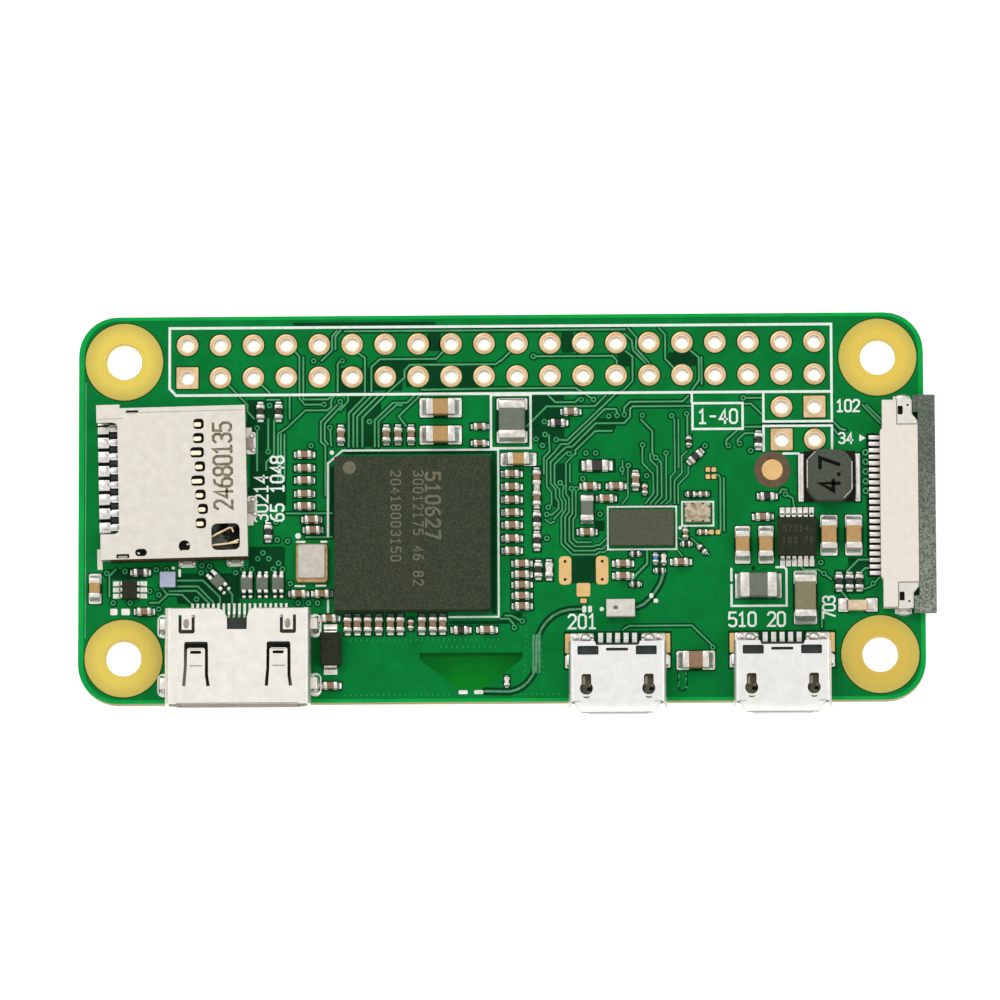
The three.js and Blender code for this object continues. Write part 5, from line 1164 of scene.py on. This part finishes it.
# Seen through the keyholes: springs in the darker sheet colour and black spots, both painted shade. The solder swirls
# are darker lines, painted shade in the solder's folds.
latch = Piece("usb_latch_springs", TIN_SHADE, "tin_plate", smooth=20)
latch_dark = Piece("usb_latch_shade_spots", INK_AND_SHADE, "plastic_dark", smooth=20)
swirl = Piece("usb_solder_swirls", TIN_DIMPLE_SHADE, "solder", smooth=20)
for cx, name in ((8.9, "data"), (21.5, "power")):
    u = Piece(f"usb_{name}_case", TIN_USB, "tin_plate", smooth=35, replaces=(f"usb_{name}_shell",))
    k = []
    for kx in (-2.38, 2.38):
        k.append([(kx - 0.24, -13.2), (kx + 0.28, -13.2), (kx + 0.37, -13.29), (kx + 0.37, -13.98)] + polygon_ring(kx, -14.3, 0.5, 38, -75, 10) + polygon_ring(kx, -14.3, 0.5, -105, -218, 10) + [(kx - 0.37, -13.98), (kx - 0.37, -13.33)])
        k.append([(kx - 0.3, -14.9), (kx, -14.94), (kx + 0.3, -14.9), (kx + 0.16, -15.03), (kx, -15.06), (kx - 0.16, -15.03)])
    k.append(rrect(-3.05, -11.72, -1.44, -11.04, 0.08, 2))
    k.append(rrect(1.4, -11.72, 3.0, -11.04, 0.08, 2))
    k.append(rrect(-0.88, -11.42, 0.82, -11.2, 0.09, 3))
    r = 0.36
    outline = [(-UW + r, -15.3), (UW - r, -15.3), (UW - r, -10.68), (1.72, -10.68), (1.62, -10.98), (-1.62, -10.98), (-1.72, -10.68), (-UW + r, -10.68)]
    tube(u, cx, UW, -15.3, -10.68, -10.85, UH, r, UT, 0.85, 1.15, outline, k)
    rows = []
    for y, dz, hw in ((-15.3, 0.0, 3.36), (-15.42, 0.0, 3.26), (-15.6, 0.012, 3.16), (-15.78, 0.03, 3.05), (-15.95, 0.06, 2.95), (-16.08, 0.085, 2.86), (-16.17, 0.098, 2.76)):
        z1 = TOP + UH + dz
        rows.append([(cx - hw, y, z1 - 0.17), (cx - hw, y, z1 - 0.03), (cx - hw + 0.04, y, z1), (cx + hw - 0.04, y, z1), (cx + hw, y, z1 - 0.03), (cx + hw, y, z1 - 0.17)])
    u.add(loft(rows))
    rows = [[(cx - 2.3, y, TOP + z), (cx - 2.3, y, TOP + z + 0.18), (cx + 2.3, y, TOP + z + 0.18), (cx + 2.3, y, TOP + z)] for y, z in ((-15.2, 0.05), (-15.6, -0.08), (-16.0, -0.28))]
    u.add(loft(rows))
    for s in (-1, 1):
        rows = []
        for y, d in ((-15.2, 0.0), (-15.45, 0.03), (-15.65, 0.08), (-15.8, 0.14)):
            a, b = cx + s * (UW - 0.18 + d), cx + s * (UW + d)
            rows.append([(a, y, TOP + 1.25), (b, y, TOP + 1.25), (b, y, TOP + 2.2), (a, y, TOP + 2.2)])
        u.add(loft(rows))
        a, b = sorted((cx + s * 3.55, cx + s * 3.9))
        u.add(rbox(a, -12.35, TOP, b, -11.55, TOP + 1.3, 0.06, 2))
    # Plates inside the shell, dark olive as painted shade.
    inside = Piece(f"usb_{name}_inside", DARK_OLIVE_SHADE, "plastic_dark", smooth=0)
    inside.add(prism([(cx - 2.75, -15.2), (cx + 2.75, -15.2), (cx + 2.75, -12.12), (cx - 2.75, -12.12)], TOP + 0.26, TOP + 0.5))
    inside.add(rbox(cx - 2.9, -15.1, TOP + 1.9, cx - 2.0, -12.3, TOP + 2.05, 0.05, 2))
    inside.add(rbox(cx + 2.0, -15.1, TOP + 1.9, cx + 2.9, -12.3, TOP + 2.05, 0.05, 2))
    for kx in (cx - 2.38, cx + 2.38):
        latch.add(rbox(kx - 0.33, -13.95, TOP + 2.0, kx - 0.08, -13.3, TOP + 2.1, 0.03, 1))
        latch_dark.add(dome(kx + 0.2, -14.3, 0.2, 0.16, TOP + 2.04, 0.05, 12, 3))
        latch.add(dome(kx + 0.27, -14.02, 0.1, 0.08, TOP + 2.04, 0.08, 12, 3))
    lump = Piece(f"usb_{name}_solder", SOLDER, "solder", smooth=60)
    edge_pad = Piece(f"usb_{name}_side_pads", GOLD, "gold_plate", smooth=30)
    bare.add(prism(rrect(cx - 4.15, -12.6, cx + 4.15, -9.6, 0.1, 2), TOP, Z_BARE + lift()))
    for s in (-1, 1):
        a, b = sorted((cx + s * 1.8, cx + s * 3.68))
        lump.add(rbox(a, -10.74, TOP, b, -9.78, TOP + 0.42, 0.16, 4))
        lump.add(dome(cx + s * 2.45, -10.2, 0.46, 0.4, TOP + 0.34, 0.3, 20, 5))
        lump.add(dome(cx + s * 3.2, -10.1, 0.34, 0.3, TOP + 0.36, 0.16, 16, 4))
        lump.add(dome(cx + s * 2.0, -10.05, 0.2, 0.22, TOP + 0.36, 0.14, 14, 4))
        swirl.add(strip([(cx + s * 2.15, -9.98), (cx + s * 2.4, -9.9), (cx + s * 2.7, -10.0), (cx + s * 2.78, -10.25)], 0.07, TOP + 0.3, TOP + 0.6))
        swirl.add(strip([(cx + s * 2.9, -10.4), (cx + s * 3.1, -10.25), (cx + s * 3.4, -10.3)], 0.06, TOP + 0.3, TOP + 0.52))
        a, b = sorted((cx + s * 3.6, cx + s * 4.02))
        edge_pad.add(prism(rrect(a, -11.3, b, -9.8, 0.05, 2), TOP, Z_PAD))
        lump.add(prism(rrect(a, -12.45, b, -11.5, 0.05, 2), TOP, Z_PAD))
        # painted shade line along the shell's front edge
        shade_v.add(prism([(cx + s * 3.1 - 0.3, -15.33), (cx + s * 3.1 + 0.3, -15.33), (cx + s * 3.1 + 0.3, -15.27), (cx + s * 3.1 - 0.3, -15.27)], TOP + UH - 0.05, TOP + UH + 0.002))
    # painted shade line along the lip's front edge
    front = Piece(f"usb_{name}_lip_edge_shade", TIN_SHADE, "tin_plate", smooth=20)
    front.add(prism([(cx - 2.72, -16.19), (cx + 2.72, -16.19), (cx + 2.72, -16.12), (cx - 2.72, -16.12)], TOP + UH - 0.08, TOP + UH + 0.101))

# ------------------------------------------------------------------ moulded memory package with rounded corners
mem = Piece("memory_body", PKG, "package_black", smooth=30, replaces=("memory_package",))


def lidded(x0, y0, x1, y1, z0, z1, r, c):
    lower = rrect(x0, y0, x1, y1, r, 5)
    upper = rrect(x0 + c, y0 + c, x1 - c, y1 - c, max(r - c, 0.02), 5)
    rows = [[(x, y, z0) for x, y in lower], [(x, y, z1 - c) for x, y in lower], [(x, y, z1) for x, y in upper]]
    return loft(rows)


mem.add(lidded(-6.8 - 5.97, -2.05 - 5.97, -6.8 + 5.97, -2.05 + 5.97, 2.04, 2.7, 0.3, 0.03))
rim = Piece("main_crystal_rim", CRYSTAL_RIM, "gold_plate", smooth=30, replaces=("main_crystal_base",))
rim.add(lidded(-15.75, -5.75, -13.3, -2.75, TOP, 1.84, 0.28, 0.04))
lid = Piece("main_crystal_can", CRYSTAL_LID, "tin_plate", smooth=30, replaces=("main_crystal_lid",))
lid.add(lidded(-15.6, -5.44, -13.5, -2.82, 1.82, 2.02, 0.22, 0.05))
small_dots = Piece("small_crystal_castellations", INK_AND_SHADE, "plastic_dark", smooth=0)
for x, y in ((14.18, -0.05), (14.18, -0.95), (16.02, -0.05), (16.02, -0.95), (14.7, 0.17), (15.5, 0.17), (14.7, -1.17), (15.5, -1.17)):
    small_dots.add(prism(ring(x, y, 0.07, 8), 1.8, 1.853))
filter_mark = Piece("antenna_filter_mark", CHOKE, "ceramic_dark", smooth=0)
filter_mark.add(prism(rrect(8.6, -8.0, 8.95, -7.72, 0.04, 2), 2.05, 2.103))
# choke core: an octagon with a chamfered top edge, and pale metal strips along its edges as painted highlights
core = Piece("inductor_core_body", FERRITE, "ferrite", smooth=30, replaces=("power_inductor_core",))
gleam = Piece("inductor_core_edge_highlight", TERMINAL, "ferrite", smooth=30)


def octagon(cx, cy, h, g, c):
    """Corners cut at a slant and swelled outward; h across x, g across y."""
    pts = []
    for sx, sy, flip in ((1, 1, 0), (-1, 1, 1), (-1, -1, 0), (1, -1, 1)):
        side = [(sx * h, sy * (g - c)), (sx * (h - c * 0.86), sy * g)]
        if flip:
            side = side[::-1]
        (ax, ay), (bx, by) = side
        for t in (0.0, 0.2, 0.4, 0.6, 0.8, 1.0):
            mx, my = ax + (bx - ax) * t, ay + (by - ay) * t
            u = 0.68 * t * (1 - t)
            pts.append((cx + mx + (sx * h - mx) * u, cy + my + (sy * g - my) * u))
    return pts


rows = []
for z, d in ((1.74, 0.0), (2.64, 0.0), (2.75, 0.05), (2.8, 0.13)):
    rows.append([(x, y, z) for x, y in octagon(25.22, 2.2, 1.79 - d, 1.99 - d, 0.98 - 0.4 * d)])
core.add(loft(rows))
# painted highlights along the core's edges
gleam.add(strip([(23.52, 1.25), (23.52, 3.35)], 0.08, 2.6, 2.785))
gleam.add(strip([(26.92, 1.1), (26.92, 3.2)], 0.08, 2.6, 2.785))
gleam.add(strip([(23.56, 3.45), (24.15, 4.0)], 0.04, 2.6, 2.79))
gleam.add(strip([(26.88, 1.0), (26.3, 0.42)], 0.05, 2.6, 2.79))
for x0, x1 in ((22.84, 23.24), (27.2, 27.58)):
    tinned.add(prism(rrect(x0, 0.32, x1, 4.02, 0.05, 2), TOP, Z_PAD))
    bare.add(prism(rrect(x0 - 0.12, 0.2, x1 + 0.12, 4.14, 0.05, 2), TOP, Z_BARE + lift()))

# ------------------------------------------------------------------ card socket details
crease = Piece("card_cover_crease_shade", TIN_SHADE, "tin_plate", smooth=20)
TH = math.radians(1.2)


def card(u, v):
    return (-25.3 + u * math.cos(TH) - v * math.sin(TH), 2.0 + u * math.sin(TH) + v * math.cos(TH))


# painted shade lines at the cover's bends
crease.add(strip([card(-3.4, 5.42), card(5.6, 5.42)], 0.05, 2.75, 2.802))
crease.add(strip([card(-5.5, 4.98), card(-3.6, 4.98)], 0.05, 2.75, 2.802))
brown_side = Piece("card_tab_shade", TIN_DIMPLE_SHADE, "tin_plate", smooth=20)
socket = Matrix.Translation((-25.3, 2.0, 0)) @ Matrix.Rotation(TH, 4, "Z")
for v in (3.0, -1.95):
    ears.add(dome(6.2, v + 0.55, 0.26, 0.26, TOP, 0.3, 16, 4), socket)
    ears.add(dome(6.3, v - 0.55, 0.28, 0.24, TOP, 0.28, 16, 4), socket)
    brown_side.add(rbox(5.75, v - 0.5, TOP + 0.02, 6.3, v + 0.4, TOP + 0.4, 0.08, 2), socket)
    tinned.add(prism(rrect(5.8, v - 0.85, 6.5, v + 0.85, 0.15, 3), TOP, Z_PAD), socket)
for u in (1.1, 4.8):
    brown_side.add(rbox(u - 0.36, -6.28, TOP + 0.02, u + 0.36, -5.9, TOP + 0.34, 0.06, 2), socket)
    ears.add(dome(u - 0.48, -6.2, 0.16, 0.3, TOP, 0.26, 14, 3), socket)
    ears.add(dome(u + 0.48, -6.2, 0.16, 0.3, TOP, 0.26, 14, 3), socket)
    tinned.add(prism(rrect(u - 0.6, -6.52, u + 0.6, -5.9, 0.1, 2), TOP, Z_PAD), socket)
# Each cover window: a black plate as painted shade, with a pale glowing plate on it as a painted highlight of the
# spring below.
window_shade = Piece("card_window_painted_shade", INK_AND_SHADE, "plastic_dark", smooth=0)
glint = Piece("card_window_painted_glints", GLOW_BRIGHT, "gold_plate", smooth=0)
# Black between the card tails: over the moulding it is its dark plastic, in front of it a painted shadow between the
# tails.
gap_dark = Piece("card_mouth_moulding_and_shadow", INK_AND_SHADE, "plastic_dark", smooth=0)
tail_tin = Piece("card_tail_solder", SOLDER, "solder", smooth=50)
tail_edge = Piece("card_tail_ends", DARK, "plastic_dark", smooth=20)
CENTRES, WIDTHS = (2.2, 2.17, 2.05, 2.25, 2.08, 2.25, 2.42, 2.24), (0.8, 0.84, 1.05, 0.8, 1.05, 0.8, 0.76, 0.8)
for n in range(8):
    c, w, v = CENTRES[n], WIDTHS[n] / 2, 4.41 - 1.1 * n
    window_shade.add(prism(rrect(c - w + 0.01, v - 0.39, c + w - 0.01, v + 0.39, 0.21, 3), 2.62, 2.72), socket)
    glint.add(prism(rrect(c - w + 0.02, v - 0.2, c + w - 0.21, v + 0.13, 0.12, 3), 2.7, 2.74), socket)
    tail_tin.add(rbox(-5.66, v - 0.45, TOP + 0.01, -4.72, v + 0.44, TOP + 0.17, 0.12, 3), socket)
    tail_tin.add(dome(-5.2, v + 0.05, 0.36, 0.28, TOP + 0.14, 0.08, 16, 4), socket)
    tail_tin.add(rbox(-4.8, v - 0.19, TOP + 0.08, -4.07, v + 0.19, TOP + 0.27, 0.05, 2), socket)
    if n < 7:
        g = v - 0.55
        gap_dark.add(prism(rrect(-5.62, g - 0.1, -4.7, g + 0.1, 0.05, 2), TOP + 0.18, TOP + 0.2), socket)
        gap_dark.add(prism(rrect(-4.78, g - 0.36, -4.06, g + 0.36, 0.08, 2), TOP + 0.2, TOP + 0.24), socket)
        tail_edge.add(prism(rrect(-4.6, g - 0.22, -4.28, g + 0.2, 0.08, 2), TOP + 0.2, TOP + 0.246), socket)
gap_dark.add(strip([(-5.6, 4.6), (-4.8, 4.62), (-4.2, 4.45)], 0.12, TOP + 0.02, TOP + 0.24), socket)
gap_dark.add(strip([(-5.6, -3.86), (-4.7, -3.84), (-4.15, -3.7)], 0.14, TOP + 0.02, TOP + 0.24), socket)
wall_shade = Piece("card_cover_side_shade", WALL_BROWN, "tin_plate", smooth=0)
wall_shade.add(rbox(-4.75, -6.06, TOP + 0.2, 5.8, -5.935, 2.7, 0.02, 1), socket)
switch_floor = Piece("card_switch_floor", FLOOR_MIX, "plastic_dark", smooth=0)
switch_floor.add(prism(rrect(2.9, -5.45, 5.3, -3.25, 0.3, 3), 1.745, 1.76), socket)
# The fixed tip of the card switch glows, as painted light.
tip = Piece("card_switch_fixed_tip", GLOW_BRIGHT, "gold_plate", smooth=0)
tip.add(strip([(4.0, -4.86), (4.5, -4.72), (5.02, -4.52)], 0.14, 1.765, 1.8), socket)
bead = Piece("card_cover_hole_bead", TERMINAL, "tin_plate", smooth=50)
bead.add(dome(-2.6, -5.44, 0.15, 0.15, 2.4, 0.15, 16, 4), socket)
# The slot in the cover: a black outline and a darker sheet plate inside, as painted shade.
edge_dark = Piece("card_cover_slot_shade", INK_AND_SHADE, "plastic_dark", smooth=0)
edge_dark.add(prism(rrect(-4.3, -5.86, -3.3, -5.52, 0.1, 3), 2.79, 2.803, [rrect(-4.16, -5.86, -3.44, -5.66, 0.04, 2)]), socket)
crease.add(prism(rrect(-4.16, -5.86, -3.44, -5.66, 0.04, 2), 2.79, 2.802), socket)
# The springs seen in the cover's holes glow, as painted light.
springs = Piece("card_cover_hole_springs", GLOW_BRIGHT, "gold_plate", smooth=30)
for u, v, a, b in ((0.98, -5.36, 0.3, 0.09), (1.2, -4.82, 0.12, 0.07)):
    x, y = card(u, v)
    springs.add(rbox(x - a, y - b, 2.15, x + a, y + b, 2.3, 0.04, 2))

# ------------------------------------------------------------------ camera connector details
dark(28.05, -5.6, 29.3, 5.6, 0.05)
tail_gap = Piece("camera_tail_shadow", INK_AND_SHADE, "plastic_dark", smooth=0)
tail_tin2 = Piece("camera_tail_solder", SOLDER, "solder", smooth=50)
tail_gap.add(prism(rrect(28.2, -5.5, 29.3, 5.5, 0.03, 2), TOP + 0.02, TOP + 0.05))
for i in range(22):
    y = (i - 10.5) * 0.5
    tail_tin2.add(rbox(28.24, y - 0.17, TOP + 0.03, 29.12, y + 0.165, TOP + 0.19, 0.05, 2))
# On the hold-downs: black plates stand for the shade in their holes and darker sheet lines for the shade at their bends
# (painted shade).
hold_dark = Piece("camera_hold_down_hole_shade", INK_AND_SHADE, "plastic_dark", smooth=0)
hold_line = Piece("camera_hold_down_crease_shade", TIN_SHADE, "tin_plate", smooth=0)
zc = 2.65
for s in (-1, 1):
    y0, y1 = sorted((s * 6.88, s * 7.52))
    hold_dark.add(prism(rrect(30.48, y0, 30.87, y1, 0.05, 2), zc - 0.1, zc + 0.003))
    y0, y1 = sorted((s * 7.5, s * 7.66))
    hold_dark.add(prism(rrect(31.15, y0, 31.32, y1, 0.05, 2), zc - 0.1, zc + 0.003))
    hold_line.add(strip([(30.42, s * 6.13), (31.86, s * 6.13)], 0.07, zc - 0.05, zc + 0.003))
    hold_line.add(strip([(30.43, s * 6.2), (30.43, s * 8.0)], 0.05, zc - 0.05, zc + 0.003))
    ears.add(dome(30.85, s * 8.3, 0.6, 0.3, TOP, 0.3, 18, 4))

# ------------------------------------------------------------------ package markings

mark = Piece("package_marks", MARK, "package_grey", smooth=0)
dot = Piece("package_pin_dots", MARK, "package_grey", smooth=0)
zt = 2.7
dot.add(prism(ring(-11.6, 3.0, 0.5, 32), zt - 0.01, zt + 0.003))
digits(mark, "510627", -5.72, 2.55, 1.05, 0.2, zt - 0.01, zt + 0.004, -90, 0.86)
digits(mark, "30012175 46 82", -6.68, 2.7, 0.72, 0.11, zt - 0.01, zt + 0.004, -90, 0.9)
digits(mark, "20418003150", -8.4, 2.7, 0.72, 0.11, zt - 0.01, zt + 0.004, -90, 0.91)
dim = Piece("regulator_marks", MARK_GREY, "package_grey", smooth=0)
digits(dim, "57314", 21.65, -2.05, 0.42, 0.07, 2.24, 2.254, 0, 1.0)
digits(dim, "103 78", 21.6, -2.95, 0.42, 0.07, 2.24, 2.254, 0, 1.0)
core_mark = Piece("inductor_value", INK_AND_SHADE, "package_black", smooth=0)
digits(core_mark, "4.7", 25.93, 0.95, 1.44, 0.28, 2.79, 2.806, 90, 0.62, 1.0, 0.9)
cover_mark = Piece("cover_code", STAMP, "tin_plate", smooth=0)
digits(cover_mark, "24680135", -20.58, -0.12, 1.36, 0.21, 2.79, 2.803, 91.2, 0.635, 1.0, 0.76)

# ------------------------------------------------------------------ underside

under_via = Piece("underside_via_rings", MASK_TRACE_SHEEN, "solder_mask", smooth=30)
for x, y in VIAS:
    under_via.add(prism(ring(x, y, 0.24, 12), -0.022, 0.0))
r2 = random.Random(11)
for i in range(26):
    x, y = -24 + 1.9 * i + r2.uniform(-0.3, 0.3), (-7.5, -3.2, 1.4, 5.2)[i % 4] + r2.uniform(-0.6, 0.6)
    pads.add(prism(ring(x, y, 0.5, 24), -0.03, 0.0))
under_line = Piece("underside_traces", MASK_TRACE_SHEEN, "solder_mask", smooth=0)
for i in range(16):
    x = -22 + 2.54 * i
    under_line.add(strip([(x, 9.4), (x, 7.6 - 0.2 * (i % 3)), (x + 1.4, 6.2), (x + 1.4, -1.5 - 0.5 * (i % 5))], 0.14, -0.02, 0.0))

for p in list(ALL):
    p.make()
